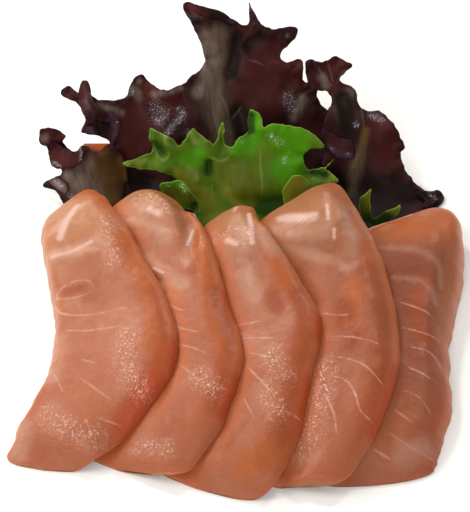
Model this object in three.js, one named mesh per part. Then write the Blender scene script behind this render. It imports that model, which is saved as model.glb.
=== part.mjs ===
import * as THREE from "three";
import { TessellateModifier } from "three/addons/modifiers/TessellateModifier.js";
import { mergeVertices } from "three/addons/utils/BufferGeometryUtils.js";

// A helping of salmon sashimi. Five thick slices lie fanned like shingles, the left one on top, and behind
// their thick ends stands a garnish of frilly lettuce leaves with a bit of carrot. Millimetres, +Z up. X
// runs across the fan and Y from the slices' tips back to the leaves. All of it stands on z = 0.

// ---- Driving dimensions ----

// Moves the arrangement so that the middle of its box is at x = 0, y = 0.
const standX = -2.69;
const standY = -8.455;

const restGap = 0.5; // air between a slice and what it lies on
const brim = 1; // how far beside a lower slice the upper one is still at its height
const climb = 4; // width over which it comes down from there
const flat = 0.85; // share of the half width beyond which a lower slice's rounding isn't followed
const squeezed = 0.35; // share of a slice's thickness that stays where its neighbour presses it
const stationsAlong = 22; // facets of a slice from its thick end to its tip
const stationsAcross = 12; // and from edge to edge

const topRound = 0.09; // share of a slice's length that its thick end's outline takes to close
const tipRound = 0.06; // and its tip's
const outlineRoundness = 2.8; // 2 closes an end as an ellipse, more leaves it blunter
const topFall = 0.12; // share of the length in which the face rolls down to the thick end
const tipFall = 0.1; // and to the tip
const tipReach = 4; // the greater, the nearer to the tip its askew cut turns the slice
const askewSteps = 5; // tries in which a place's share along an askew slice is found
const innerShoulder = 0.25; // share of the half width that rounds over at the concave edge
const underInner = 0.2; // the same along the underside, at the concave edge
const underOuter = 0.3; // and at the convex one
const browInside = -0.1; // where across it a slice's brow is at its height
const pressing = 2; // depth over which a face pushed up from below blends into the face around it
const sagInside = 0.3; // share of the half width beyond which the convex side sags on to what lies below
const sagTop = 0.38; // share of the length over which that begins, from the thick end
const sagTip = 0.86; // share of the length beyond which the whole tip sags
const hem = 0.6; // height of the sagged edge over what it lies on

const leafThickness = 0.9;
const leafFacet = 3.6; // the longest edge of a facet inside a leaf
const mostSplits = 12; // how often a long triangle is split for that
const softness = 2; // square millimetres over which the tips and notches of a rim melt into the leaf
const facetsPerLobe = 2; // facets between two points of a leaf's rim

// A slice is a crescent along an arc that is seen from above: centre, radius and the angles, in degrees, of
// its thick end and its tip. The lists run evenly from the thick end to the tip. inner and outer are the
// distances from the arc to the concave and the convex edge, lift is the height of the middle of the face,
// roll how many degrees the face leans down to the concave side, thickness the cut's own thickness.
// outerShoulder is the share of the half width that rounds over at the convex edge. tip turns the cut end
// askew: by slant degrees for each millimetre towards the convex edge, and by pull degrees as a whole. brow
// is the raised pad of the thick end: where along the slice it ends, how much later it ends per half width,
// where across it ends, and how high it stands.
const slices = {
  slice_1: {
    centre: [-76, -9], radius: 48, from: 44, to: -50.7,
    inner: [9, 13.5, 14.5, 13.5, 12, 10.5, 6],
    outer: [8.5, 6, 8, 13.5, 17, 14, 10],
    lift: [13, 17, 15.5, 13.5, 12, 8.5, 3.8],
    roll: [6, 17, 20, 18, 16, 12, 6],
    thickness: [9, 10, 9.5, 9.5, 9, 7, 3.2],
    outerShoulder: 0.6,
    tip: { slant: 0.95, pull: 3.2 },
  },
  slice_2: {
    centre: [-62, -9], radius: 50, from: 44, to: -42.6,
    inner: [12, 13.5, 14, 14, 13, 12, 12],
    outer: [4.5, 8.5, 8.5, 10.5, 15.5, 16.5, 15.5],
    lift: [14, 17, 15.5, 14.5, 12.5, 9, 3.8],
    roll: [5, 13, 20, 20, 16, 12, 6],
    thickness: [9, 11, 10, 9.5, 9, 7.5, 3.2],
    outerShoulder: 0.6,
    tip: { slant: 0.5, pull: -3 },
    brow: { along: 0.3, slant: 0.1, across: 0.45, height: 2 },
  },
  slice_3: {
    centre: [-46, -9], radius: 54, from: 34, to: -44.8,
    inner: [10, 12.5, 14, 14, 13, 12, 11],
    outer: [5.5, 2.5, 6, 12, 12, 15, 14.8],
    lift: [14, 17.5, 16, 14, 12.5, 9, 3.8],
    roll: [5, 16, 20, 19, 16, 12, 6],
    thickness: [9, 11, 10, 9.5, 9, 7.5, 3.2],
    outerShoulder: 0.6,
    tip: { slant: 0.52, pull: -3.2 },
    brow: { along: 0.28, slant: 0.06, across: 0.3, height: 2 },
  },
  slice_4: {
    centre: [-34, -11], radius: 58, from: 36, to: -38.9,
    inner: [13, 13.5, 14, 14, 13, 11.5, 11],
    outer: [14, 12, 12, 13, 14, 13.5, 12],
    lift: [15, 18.5, 16, 14, 12.5, 9, 3.8],
    roll: [5, 10, 15, 16, 14, 12, 6],
    thickness: [9, 12, 10, 9.5, 9, 7.5, 3.2],
    outerShoulder: 0.6,
    tip: { slant: 0.55, pull: -3.4 },
    brow: { along: 0.26, slant: 0.05, across: 0.45, height: 2.5 },
  },
  slice_5: {
    centre: [-34, -8], radius: 78, from: 22, to: -34.7,
    inner: [11, 13, 14, 14, 13, 11.5, 12],
    outer: [15, 13.5, 8.5, 6, 8, 8, 8.5],
    lift: [10, 12.5, 10.5, 9.2, 9, 7.5, 3.8],
    roll: [2, 2, 1, 0, 0, 0, 0],
    thickness: [8, 9, 9, 9, 9, 7.5, 3.2],
    outerShoulder: 0.28,
    tip: { slant: 0.6, pull: 1.4 },
  },
};

// A leaf lies flat on the board under the slices, bends up at its root and leans back from there, by lean
// degrees from upright; bend is the radius of that bend. rim goes round its frill from one side to the
// other, through each tip and notch: millimetres across from the root, up the leaf and forward out of its
// face. cup is how far the middle of the leaf hangs behind its rim, and raised is how far the leaf lies
// above the board.
const leaves = {
  red_leaf_centre: {
    root: [-6, 33], raised: 0, lean: 42, bend: 6, cup: 2,
    rim: [
      [-13, -4, 0], [-19, 0, 0], [-24.5, 6, 1], [-26.5, 10.5, 0], [-25.5, 14.5, 1],
      [-28.5, 16.5, 3], [-32.5, 17.5, 3.2], [-31.5, 20.5, 1], [-33.5, 24, -2], [-38, 26.5, -4],
      [-36, 28.5, -3], [-33.3, 27, -1], [-32, 30, 2], [-30.6, 30, 2.4], [-29, 26, 2.6],
      [-24.5, 25.5, 0], [-21.5, 26, -3],
      [-20, 29.5, -3], [-17.5, 31.5, -1], [-14.5, 29, 2], [-11.5, 28, 3], [-7, 29.5, 1],
      [-2, 34, -2], [-2, 38, -2], [-4, 42.5, 0], [-6.5, 49, 3], [-2, 48.5, 4],
      [4.5, 46, 3], [7.5, 44, -1], [9.5, 45, -2], [9.5, 49.5, -3], [11, 46.5, -1],
      [12.5, 44, 1], [15.5, 43, 2], [19.5, 43.5, 0], [21.5, 42.5, -2], [20, 39.5, -3],
      [17.5, 37, 0], [18, 35, 2], [22.5, 35, 1], [23.2, 29.8, -1], [26.2, 29, -2],
      [27.2, 25, -2], [30, 21.5, -2], [31, 18, -2], [31, 10.5, -1], [26.5, 3, 0],
      [18, -4, 0],
    ],
  },
  red_leaf_left: {
    root: [-32, 29.5], raised: 0, lean: 40, bend: 5, cup: 1,
    rim: [
      [6.5, -1, 0], [5.5, 5.5, 0], [4.5, 13, 0], [1.2, 17.3, 2], [-2.2, 15.2, 3], [-5.6, 16.8, 1.5],
      [-7.4, 15.3, 1], [-11, 17, -1], [-10, 19, -2], [-14.5, 21, 0], [-16.5, 20.5, 2], [-16.5, 18, 2], [-14.5, 15, 0],
      [-14, 11, -1], [-11.5, 11, 1], [-11.5, 9.5, 2], [-14.5, 8, 1], [-16, 6, 0], [-13, 5, 0],
      [-10.5, 1.5, 0], [-6.5, -1, 0],
    ],
  },
  red_leaf_right: {
    root: [31.5, 31.5], raised: 0, lean: 42, bend: 6, cup: 1.5,
    rim: [
      [-9.5, -2.5, 0], [-10.5, 4, 0], [-9.5, 11.5, 2], [-9.5, 19, 3], [-8.5, 23.5, 1], [-7.5, 26, 0],
      [-8.5, 28.5, 0], [-12, 29, 1], [-13.5, 30.5, 1], [-14, 36, 2], [-10, 36, -1], [-6.5, 37, -2],
      [-2.5, 35, -1], [-5.5, 31.5, 1], [-2, 29.5, 2], [0, 24.5, 0], [4.5, 23.5, -2], [6.5, 22.5, 0],
      [8.5, 20, 2], [11, 15, 1], [10, 13, -1], [11.5, 8.5, 0], [13, 7, 2], [14, 5.5, 2],
      [17, 3.5, 0], [19.5, 4, 0], [21, 2, 0], [18.5, -1.5, 0], [13.5, -3, 0], [9, -7, 0],
      [4, -9.5, 0], [0, -9, 0],
    ],
  },
  green_leaf: {
    root: [2.5, 26.5], raised: 1.3, lean: 32, bend: 5, cup: 1.5,
    rim: [
      [-11, -5, 0], [-13, 3, 0], [-14.5, 7.5, 1], [-17.5, 10, 1], [-21, 11.5, 2],
      [-26.5, 12.5, 3], [-30, 13.5, 3], [-29.5, 14.5, 3], [-24.5, 15.5, 1], [-23, 16.5, -1],
      [-23.5, 22, -2], [-21.5, 21.5, 0], [-19, 21, 2], [-16.5, 18.5, 2], [-15, 19.5, 0],
      [-13, 22, -2], [-11.5, 20.5, -1], [-9, 19, 1], [-7.5, 18.5, 1], [-5.5, 23.5, -1],
      [-5, 18.5, 0], [-3, 18, 1], [-1.5, 20, 1], [0.5, 21, 0], [1, 26.5, -1],
      [2.5, 26.5, -2], [4, 25, -1], [4.5, 23, 1], [7, 24, 2], [10, 24, 2],
      [15, 22.5, 3], [19, 19, 4], [15.5, 17.5, 2], [14.5, 15, 0], [15.5, 11.5, -1],
      [19.5, 12, -1], [22, 14.5, 0], [20, 11.5, 0], [23, 9.5, 2], [19, 8.5, 2],
      [13.5, 5, 0], [10, 0, 0],
    ],
  },
  green_lobe_front: {
    root: [15, 22.5], raised: 2.6, lean: 20, bend: 3, cup: 0.5,
    rim: [
      [-2, 2.5, 0], [-3.5, 7.5, 0], [-2, 12, 0.5], [0, 13.5, 0], [2, 12, -0.5], [3, 10, 0],
      [1.5, 7, 0], [1, 2.5, 0],
    ],
  },
  green_tip_left: {
    root: [-13, 23], raised: 2.6, lean: 25, bend: 3, cup: 0.5,
    rim: [
      [-4, 5, 0], [-5.5, 10, 0.5], [-4, 11.5, 1], [-0.5, 11, 0], [1.5, 9, 0.5],
      [3.5, 6, 0], [4.5, 2.5, 0],
    ],
  },
  green_sprig_right: {
    root: [34.5, 19.5], raised: 1.3, lean: 20, bend: 3, cup: 0.4,
    rim: [
      [-3, 3.5, 0], [-4.5, 9, 0], [-1.5, 13, -0.5], [-1.5, 9, 0.5], [-0.5, 5, 1], [2.5, 7, 0.5],
      [5.5, 9.5, 0], [5.5, 6.5, 0], [2.5, 2.5, 0],
    ],
  },
};

// Half a round of carrot, lying behind the left leaf with its cut edge to the back.
const carrot = { radius: 5.2, thickness: 5, edgeRound: 0.5, backEdge: [-33.4, 48.3] };

const finishes = {
  salmon: { color: 0xd98a64, roughness: 0.35, metalness: 0 },
  redLeaf: { color: 0x42211f, roughness: 0.45, metalness: 0 },
  greenLeaf: { color: 0x4f8a20, roughness: 0.4, metalness: 0 },
  darkGreenLeaf: { color: 0x35601c, roughness: 0.35, metalness: 0 },
  carrot: { color: 0xd9762e, roughness: 0.5, metalness: 0 },
};

// ---- Shared forms ----

// The smooth curve through evenly spaced values, at share 0 to 1 of the way along them.
function through(values, share) {
  const last = values.length - 1;
  const x = THREE.MathUtils.clamp(share, 0, 1) * last;
  const i = Math.min(Math.floor(x), last - 1);
  const f = x - i;
  const a = values[Math.max(i - 1, 0)];
  const b = values[i];
  const c = values[i + 1];
  const d = values[Math.min(i + 2, last)];
  return b + 0.5 * f * (c - a + f * (2 * a - 5 * b + 4 * c - d + f * (3 * (b - c) + d - a)));
}

// A closed mesh between a front and a back grid of points, grid[i][j]. Both are split into triangles alike,
// and walls close the border wherever the grids don't meet there.
function closedSheet(front, back) {
  const rows = front.length;
  const columns = front[0].length;
  const positions = [...front.flat(), ...back.flat()].flatMap((p) => [p.x, p.y, p.z]);
  const faces = [];
  const at = (side, i, j) => side * rows * columns + i * columns + j;
  const quad = (a, b, c, d) => faces.push(a, b, c, a, c, d);
  for (let i = 0; i < rows - 1; i++)
    for (let j = 0; j < columns - 1; j++) {
      quad(at(0, i, j), at(0, i + 1, j), at(0, i + 1, j + 1), at(0, i, j + 1));
      quad(at(1, i, j + 1), at(1, i + 1, j + 1), at(1, i + 1, j), at(1, i, j));
    }
  for (let i = 0; i < rows - 1; i++) {
    quad(at(1, i, 0), at(1, i + 1, 0), at(0, i + 1, 0), at(0, i, 0));
    const last = columns - 1;
    quad(at(0, i, last), at(0, i + 1, last), at(1, i + 1, last), at(1, i, last));
  }
  for (let j = 0; j < columns - 1; j++) {
    quad(at(0, 0, j), at(0, 0, j + 1), at(1, 0, j + 1), at(1, 0, j));
    quad(at(1, rows - 1, j), at(1, rows - 1, j + 1), at(0, rows - 1, j + 1), at(0, rows - 1, j));
  }
  const merged = mergeVertices(
    new THREE.BufferGeometry()
      .setAttribute("position", new THREE.Float32BufferAttribute(positions, 3))
      .setIndex(faces),
    1e-3,
  );
  const index = merged.index.array;
  const kept = [];
  for (let i = 0; i < index.length; i += 3) {
    const [a, b, c] = index.slice(i, i + 3);
    if (a !== b && b !== c && c !== a) kept.push(a, b, c);
  }
  merged.setIndex(kept);
  merged.computeVertexNormals();
  return merged;
}

// ---- Slices ----

// 1 over the flat of a slice, falling to 0 at its edges over the given shares of the half width.
function shoulder(across, inner, outer) {
  const left = Math.max(-across - (1 - inner), 0) / inner;
  const right = Math.max(across - (1 - outer), 0) / outer;
  return Math.sqrt(Math.max(1 - left * left, 0) * Math.max(1 - right * right, 0));
}

// 0 at both ends of a slice and 1 between them.
function closing(along, topShare, tipShare, power) {
  const top = Math.max(1 - along / topShare, 0);
  const tip = Math.max(1 - (1 - along) / tipShare, 0);
  return ((1 - top ** power) * (1 - tip ** power)) ** (1 / power);
}

// How many degrees the tip's askew cut turns a place on, this far from the middle of the slice's width.
function askew(slice, along, offset) {
  return (slice.tip.slant * offset + slice.tip.pull) * THREE.MathUtils.clamp(along, 0, 1) ** tipReach;
}

// The point of a slice at a share along its arc and across it, from -1 at the concave edge to 1 at the
// convex one, with the heights of its face and underside when nothing lies below it.
function slicePoint(slice, along, across) {
  const inner = through(slice.inner, along);
  const outer = through(slice.outer, along);
  const half = (inner + outer) / 2;
  const offset = across * half * closing(along, topRound, tipRound, outlineRoundness);
  const reach = slice.radius + (outer - inner) / 2 + offset;
  const turn = slice.from + (slice.to - slice.from) * along + askew(slice, along, offset);
  const angle = THREE.MathUtils.degToRad(turn);
  const thickness = through(slice.thickness, along);
  const lean = THREE.MathUtils.degToRad(through(slice.roll, along));
  let face = through(slice.lift, along) + Math.tan(lean) * offset;
  if (slice.brow) {
    const { along: end, slant, across: side, height } = slice.brow;
    const place = offset / half;
    face +=
      height *
      THREE.MathUtils.smoothstep(along, 0, 0.12) *
      THREE.MathUtils.smoothstep(place, browInside - 0.5, browInside) *
      (1 - THREE.MathUtils.smoothstep(along - slant * place, end - 0.05, end + 0.05)) *
      (1 - THREE.MathUtils.smoothstep(place, side, side + 0.35));
  }
  const middle = face - thickness / 2;
  const fullness = (closing(along, topFall, tipFall, 2) * thickness) / 2;
  return {
    x: slice.centre[0] + reach * Math.cos(angle),
    y: slice.centre[1] + reach * Math.sin(angle),
    middle,
    face: middle + shoulder(across, innerShoulder, slice.outerShoulder) * fullness,
    under: middle - shoulder(across, underInner, underOuter) * fullness,
    pressed: squeezed * 2 * fullness * shoulder(across, innerShoulder, underOuter),
  };
}

// The height on which a slice lies at a place: the board, or the faces of the slices below it. Beside a
// lower slice the height comes down evenly.
function restHeight(x, y, below) {
  let height = 0;
  for (const slice of below) {
    const dx = x - slice.centre[0];
    const dy = y - slice.centre[1];
    const sweep = slice.to - slice.from;
    const length = THREE.MathUtils.degToRad(Math.abs(sweep)) * slice.radius;
    const turn = THREE.MathUtils.radToDeg(Math.atan2(dy, dx)) - slice.from;
    let along = turn / sweep;
    for (let step = 0; step < askewSteps; step++) {
      const middle = slice.radius + (through(slice.outer, along) - through(slice.inner, along)) / 2;
      along = (turn - askew(slice, along, Math.hypot(dx, dy) - middle)) / sweep;
    }
    const kept = THREE.MathUtils.clamp(along, 0.03, 0.97);
    const inner = through(slice.inner, kept);
    const outer = through(slice.outer, kept);
    const half = (inner + outer) / 2;
    const across = (Math.hypot(dx, dy) - slice.radius - (outer - inner) / 2) / half;
    const beside = Math.max(Math.abs(across) - 1, 0) * half;
    const beyond = Math.max(-along, along - 1, 0) * length;
    const away = Math.hypot(beside, beyond);
    if (away >= brim + climb) continue;
    const point = slicePoint(slice, kept, THREE.MathUtils.clamp(across, -flat, flat));
    height = Math.max(height, restGap + point.face * Math.min((brim + climb - away) / climb, 1));
  }
  return height;
}

// The greater of a face's own height and the height it is pushed to, blended where they are about the same.
function pushedUp(face, pushed) {
  const share = THREE.MathUtils.clamp(0.5 + (0.5 * (face - pushed)) / pressing, 0, 1);
  return THREE.MathUtils.lerp(pushed, face, share) + pressing * share * (1 - share);
}

// The share of its height above what lies below that a slice has lost at a place by sagging.
function sagging(along, across) {
  const aside = THREE.MathUtils.smoothstep(across, sagInside, 1);
  const begun = THREE.MathUtils.smoothstep(along, 0, sagTop);
  return Math.max(aside * begun, THREE.MathUtils.smoothstep(along, sagTip, 1));
}

function sliceGeometry(slice, below) {
  const faces = [];
  const unders = [];
  for (let i = 0; i <= stationsAlong; i++) {
    const even = i / stationsAlong;
    const along = 0.4 * even + 0.6 * (0.5 - 0.5 * Math.cos(Math.PI * even));
    const faceRow = [];
    const underRow = [];
    for (let j = 0; j <= stationsAcross; j++) {
      const side = (2 * j) / stationsAcross - 1;
      const across = 0.45 * side + 0.55 * Math.sin((Math.PI / 2) * side);
      const point = slicePoint(slice, along, across);
      const rest = restHeight(point.x, point.y, below);
      const sag = sagging(along, across) * Math.max(point.middle - rest - hem, 0);
      const face = pushedUp(point.face - sag, rest + point.pressed);
      faceRow.push(new THREE.Vector3(point.x, point.y, face));
      underRow.push(new THREE.Vector3(point.x, point.y, Math.max(point.under - sag, rest)));
    }
    faces.push(faceRow);
    unders.push(underRow);
  }
  return closedSheet(faces, unders);
}

// ---- Leaves ----

// How far forward a leaf's sheet stands at a place: what its rim's points do, the nearer the more.
function forwardAt(leaf, across, up) {
  let sum = 0;
  let weights = 0;
  for (const [rimAcross, rimUp, forward] of leaf.rim) {
    const weight = 1 / (softness + (across - rimAcross) ** 2 + (up - rimUp) ** 2) ** 2;
    sum += weight * forward;
    weights += weight;
  }
  const height = Math.max(...leaf.rim.map((point) => point[1]));
  return sum / weights - leaf.cup * Math.sin(Math.PI * THREE.MathUtils.clamp(up / height, 0, 1));
}

// The place of a leaf's sheet this far across and up: flat below the root, then round the bend, then
// straight on. It is side 1 for the sheet's front and -1 for its back. The sheet doesn't sink into the
// board.
function leafPoint(leaf, across, up, side) {
  const steepest = THREE.MathUtils.degToRad(90 - leaf.lean);
  const slope = THREE.MathUtils.clamp(up / leaf.bend, 0, steepest);
  const straight = Math.max(up - leaf.bend * steepest, 0) + Math.min(up, 0);
  const back = leaf.bend * Math.sin(slope) + straight * Math.cos(slope);
  const height = leaf.bend * (1 - Math.cos(slope)) + straight * Math.sin(slope);
  const forward = Math.max(forwardAt(leaf, across, up), -height / Math.cos(slope));
  const out = forward + (side * leafThickness) / 2;
  return new THREE.Vector3(
    leaf.root[0] + across,
    leaf.root[1] + back - out * Math.sin(slope),
    leaf.raised + leafThickness / 2 + height + out * Math.cos(slope),
  );
}

// The outline is filled with triangles no longer than a facet, which are then bent into the front and the
// back.
function leafGeometry(leaf) {
  const rim = new THREE.SplineCurve(leaf.rim.map(([across, up]) => new THREE.Vector2(across, up)));
  const outline = new THREE.Shape(rim.getPoints((leaf.rim.length - 1) * facetsPerLobe));
  const flatSheet = new THREE.ShapeGeometry(outline);
  flatSheet.deleteAttribute("normal");
  flatSheet.deleteAttribute("uv");
  const fine = mergeVertices(new TessellateModifier(leafFacet, mostSplits).modify(flatSheet), 1e-3);
  const places = fine.getAttribute("position");
  const index = [...fine.index.array];
  const positions = [];
  for (const side of [1, -1])
    for (let i = 0; i < places.count; i++)
      positions.push(...leafPoint(leaf, places.getX(i), places.getY(i), side).toArray());
  const faces = [];
  const edges = new Set();
  for (let i = 0; i < index.length; i += 3) {
    const [a, b, c] = index.slice(i, i + 3);
    faces.push(a, b, c, c + places.count, b + places.count, a + places.count);
    for (const [from, to] of [[a, b], [b, c], [c, a]]) edges.add(`${from} ${to}`);
  }
  // A wall stands on each edge that has a triangle on one side only.
  for (const edge of edges) {
    const [from, to] = edge.split(" ").map(Number);
    if (edges.has(`${to} ${from}`)) continue;
    faces.push(to, from, from + places.count, to, from + places.count, to + places.count);
  }
  const sheet = new THREE.BufferGeometry()
    .setAttribute("position", new THREE.Float32BufferAttribute(positions, 3))
    .setIndex(faces);
  sheet.computeVertexNormals();
  return sheet;
}

// ---- Carrot ----

function carrotGeometry() {
  const { radius, thickness, edgeRound } = carrot;
  const outline = new THREE.Shape().absarc(0, 0, radius - edgeRound, Math.PI, 2 * Math.PI).closePath();
  const piece = new THREE.ExtrudeGeometry(outline, {
    depth: thickness - 2 * edgeRound,
    bevelSize: edgeRound,
    bevelThickness: edgeRound,
    bevelSegments: 2,
    curveSegments: 14,
  });
  return piece.translate(carrot.backEdge[0], carrot.backEdge[1] - edgeRound, edgeRound);
}

// ---- The arrangement ----

const sashimi = new THREE.Group();
sashimi.position.set(standX, standY, 0);

function add(name, geometry, finish) {
  const mesh = new THREE.Mesh(geometry, new THREE.MeshStandardMaterial(finish));
  mesh.name = name;
  sashimi.add(mesh);
}

const sliceNames = Object.keys(slices);
sliceNames.forEach((name, i) => {
  const below = sliceNames.slice(i + 1).map((other) => slices[other]);
  add(name, sliceGeometry(slices[name], below), finishes.salmon);
});

const leafFinish = {
  red_leaf_centre: finishes.redLeaf,
  red_leaf_left: finishes.redLeaf,
  red_leaf_right: finishes.redLeaf,
  green_leaf: finishes.greenLeaf,
  green_lobe_front: finishes.greenLeaf,
  green_tip_left: finishes.darkGreenLeaf,
  green_sprig_right: finishes.darkGreenLeaf,
};
for (const [name, leaf] of Object.entries(leaves)) add(name, leafGeometry(leaf), leafFinish[name]);

add("carrot_piece", carrotGeometry(), finishes.carrot);

export default sashimi;
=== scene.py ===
# A helping of salmon sashimi: five thick slices fanned like shingles, the left one on top, in front of frilly
# red and green lettuce with a bit of carrot. Sizes are in millimetres until a mesh is made.
import math

import bpy
import numpy as np
from mathutils.geometry import delaunay_2d_cdt
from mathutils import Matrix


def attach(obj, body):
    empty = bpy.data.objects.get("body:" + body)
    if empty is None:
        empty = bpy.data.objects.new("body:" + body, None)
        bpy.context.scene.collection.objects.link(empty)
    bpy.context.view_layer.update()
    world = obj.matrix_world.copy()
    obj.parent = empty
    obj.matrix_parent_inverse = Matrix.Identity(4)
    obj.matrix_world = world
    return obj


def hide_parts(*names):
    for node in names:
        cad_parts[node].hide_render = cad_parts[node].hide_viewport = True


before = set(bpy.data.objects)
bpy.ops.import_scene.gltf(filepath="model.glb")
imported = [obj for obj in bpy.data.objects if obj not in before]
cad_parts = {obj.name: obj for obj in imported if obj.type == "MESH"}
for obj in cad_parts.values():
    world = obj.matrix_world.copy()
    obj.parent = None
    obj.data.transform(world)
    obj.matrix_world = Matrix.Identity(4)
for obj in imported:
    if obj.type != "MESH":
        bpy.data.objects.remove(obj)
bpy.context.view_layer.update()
print("frame loaded")

stand = np.array([-2.69, -8.455, 0.0])  # from the fan's own middle to the middle of the whole
millimetre = 0.001
patternUnit = 0.01  # how much of a pattern map's unit a millimetre is
farAway = 1e3  # farther than any two places of a piece
cloudStops = (0.34, 0.5, 0.66)  # where a ramp over cloudy noise has its darkest, middle and lightest colour


# ---- small tools ----

def linear(hexColour):
    shares = [int(hexColour[i:i + 2], 16) / 255 for i in (1, 3, 5)]
    return [s / 12.92 if s <= 0.04045 else ((s + 0.055) / 1.055) ** 2.4 for s in shares] + [1.0]


def addNode(tree, kind, inputs=None, ramp=None, **settings):
    # inputs are given by name or number: a plain value, or the node or socket that feeds them
    node = tree.nodes.new(kind)
    for name, value in settings.items():
        setattr(node, name, value)
    for name, value in (inputs or {}).items():
        byName = [s for s in node.inputs if s.enabled and s.name == name]
        socket = byName[0] if byName else node.inputs[name]
        if isinstance(value, bpy.types.Node):
            value = next(s for s in value.outputs if s.enabled)
        if isinstance(value, bpy.types.NodeSocket):
            tree.links.new(value, socket)
        else:
            socket.default_value = value
    if ramp:
        stops = node.color_ramp.elements
        while len(stops) < len(ramp):
            stops.new(0.5)
        for stop, (place, colour) in zip(stops, ramp):
            stop.position = place
            stop.color = linear(colour)
    return node


def paintLayers(tree, tone, layers):
    # lays one colour after another over a tone: each layer has the value that it follows, the low and the
    # high end of where it comes in, the most that it covers and its colour
    for value, low, high, most, colour in layers:
        share = addNode(
            tree, "ShaderNodeMapRange", {"Value": value, 1: low, 2: high, 3: 0, 4: most},
            interpolation_type="SMOOTHSTEP",
        )
        over = linear(colour) if isinstance(colour, str) else colour
        tone = addNode(tree, "ShaderNodeMix", {"Factor": share, "A": tone, "B": over}, data_type="RGBA")
    return tone


def newMaterial(name):
    material = bpy.data.materials.new(name)
    material.use_nodes = True
    material.node_tree.nodes.clear()
    return material, material.node_tree


def placed(name, data):
    # a new object of the scene that shows this data
    thing = bpy.data.objects.new(name, data)
    bpy.context.scene.collection.objects.link(thing)
    return thing


def through(values, share):
    # the smooth curve through evenly spaced values or points
    values = np.asarray(values, float)
    last = len(values) - 1
    x = np.clip(share, 0, 1) * last
    i = np.minimum(np.floor(x).astype(int), last - 1)
    f = x - i
    if values.ndim > 1:
        f = f[..., None]
    a = values[np.maximum(i - 1, 0)]
    b = values[i]
    c = values[i + 1]
    d = values[np.minimum(i + 2, last)]
    return b + 0.5 * f * (c - a + f * (2 * a - 5 * b + 4 * c - d + f * (3 * (b - c) + d - a)))


def fade(x, low, high):
    t = np.clip((x - low) / (high - low), 0, 1)
    return t * t * (3 - 2 * t)


def nearby(away, width):
    # from 1 where something is to 0 well outside its width
    return np.exp(-(away / width) ** 2)


def wobble(places, size, seed):
    # smooth noise from -1 to 1, its bumps about this many millimetres across; each cell's corners get a
    # scrambled number of 16 bits
    cells = np.asarray(places, float) / size
    low = np.floor(cells).astype(np.int64)
    part = cells - low
    part = part * part * (3 - 2 * part)
    factors = np.array([73856093, 19349663])
    total = np.zeros(len(cells))
    for corner in np.ndindex(2, 2):
        number = ((low + corner) * factors).sum(1) + seed * 668265263
        number = ((number ^ (number >> 13)) * 1274126177) & 0x7FFFFFFF
        number = (number ^ (number >> 15)) & 0xFFFF
        total += np.where(corner, part, 1 - part).prod(1) * number
    return total / 32767.5 - 1


def waves(places, layers, seed):
    # layers of that noise on top of each other, each with its height, its size and a seed of its own
    return sum(height * wobble(places, size, own + seed) for height, size, own in layers)


def nearLines(places, lines, stepsBetween=6):
    # distance to the nearest of several drawn lines, and how far along that line it is nearest, from 0 to 1
    nearest = np.full(len(places), farAway)
    share = np.zeros(len(places))
    for line in lines:
        steps = stepsBetween * (len(line) - 1)
        drawn = through(line, np.linspace(0, 1, steps + 1))
        for k in range(steps):
            start, run = drawn[k], drawn[k + 1] - drawn[k]
            t = np.clip(((places - start) @ run) / max(run @ run, 1e-9), 0, 1)
            away = np.linalg.norm(places - start - t[:, None] * run, axis=1)
            closer = away < nearest
            nearest[closer] = away[closer]
            share[closer] = (k + t[closer]) / steps
    return nearest, share


def tapered(away, share, endWidth, most, power):
    # the distance to drawn lines in widths of the line, which is 1 mm wide halfway and thinner at both ends
    return np.minimum(away / (endWidth + (1 - endWidth) * np.sin(np.pi * share) ** power), most)


def patchShare(places, patches):
    # how much of a brush's paint a place has got: a patch is a dab or a stroke, after the size of its brush
    share = np.zeros(len(places))
    for size, *stroke in patches:
        away = np.hypot(*(places - stroke[0]).T) if len(stroke) == 1 else nearLines(places, [stroke])[0]
        share = np.maximum(share, nearby(away, size))
    return share


def makePiece(name, points, faces, attributes, patternPlaces, material, nodes):
    # points in millimetres about the fan's middle; the pattern places, in millimetres too, become a UV map
    mesh = bpy.data.meshes.new(name)
    mesh.from_pydata(((points + stand) * millimetre).tolist(), [], faces)
    mesh.validate()
    for key, values in attributes.items():
        mesh.attributes.new(key, "FLOAT", "POINT").data.foreach_set("value", np.asarray(values, np.float32))
    corners = np.zeros(len(mesh.loops), np.int32)
    mesh.loops.foreach_get("vertex_index", corners)
    layer = mesh.uv_layers.new(name="pattern")
    layer.data.foreach_set("uv", (patternPlaces * patternUnit).astype(np.float32)[corners].ravel())
    mesh.shade_smooth()
    mesh.materials.append(material)
    piece = placed(name, mesh)
    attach(piece, "root")
    if nodes:
        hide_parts(*nodes)


# ---- the salmon ----

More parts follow.
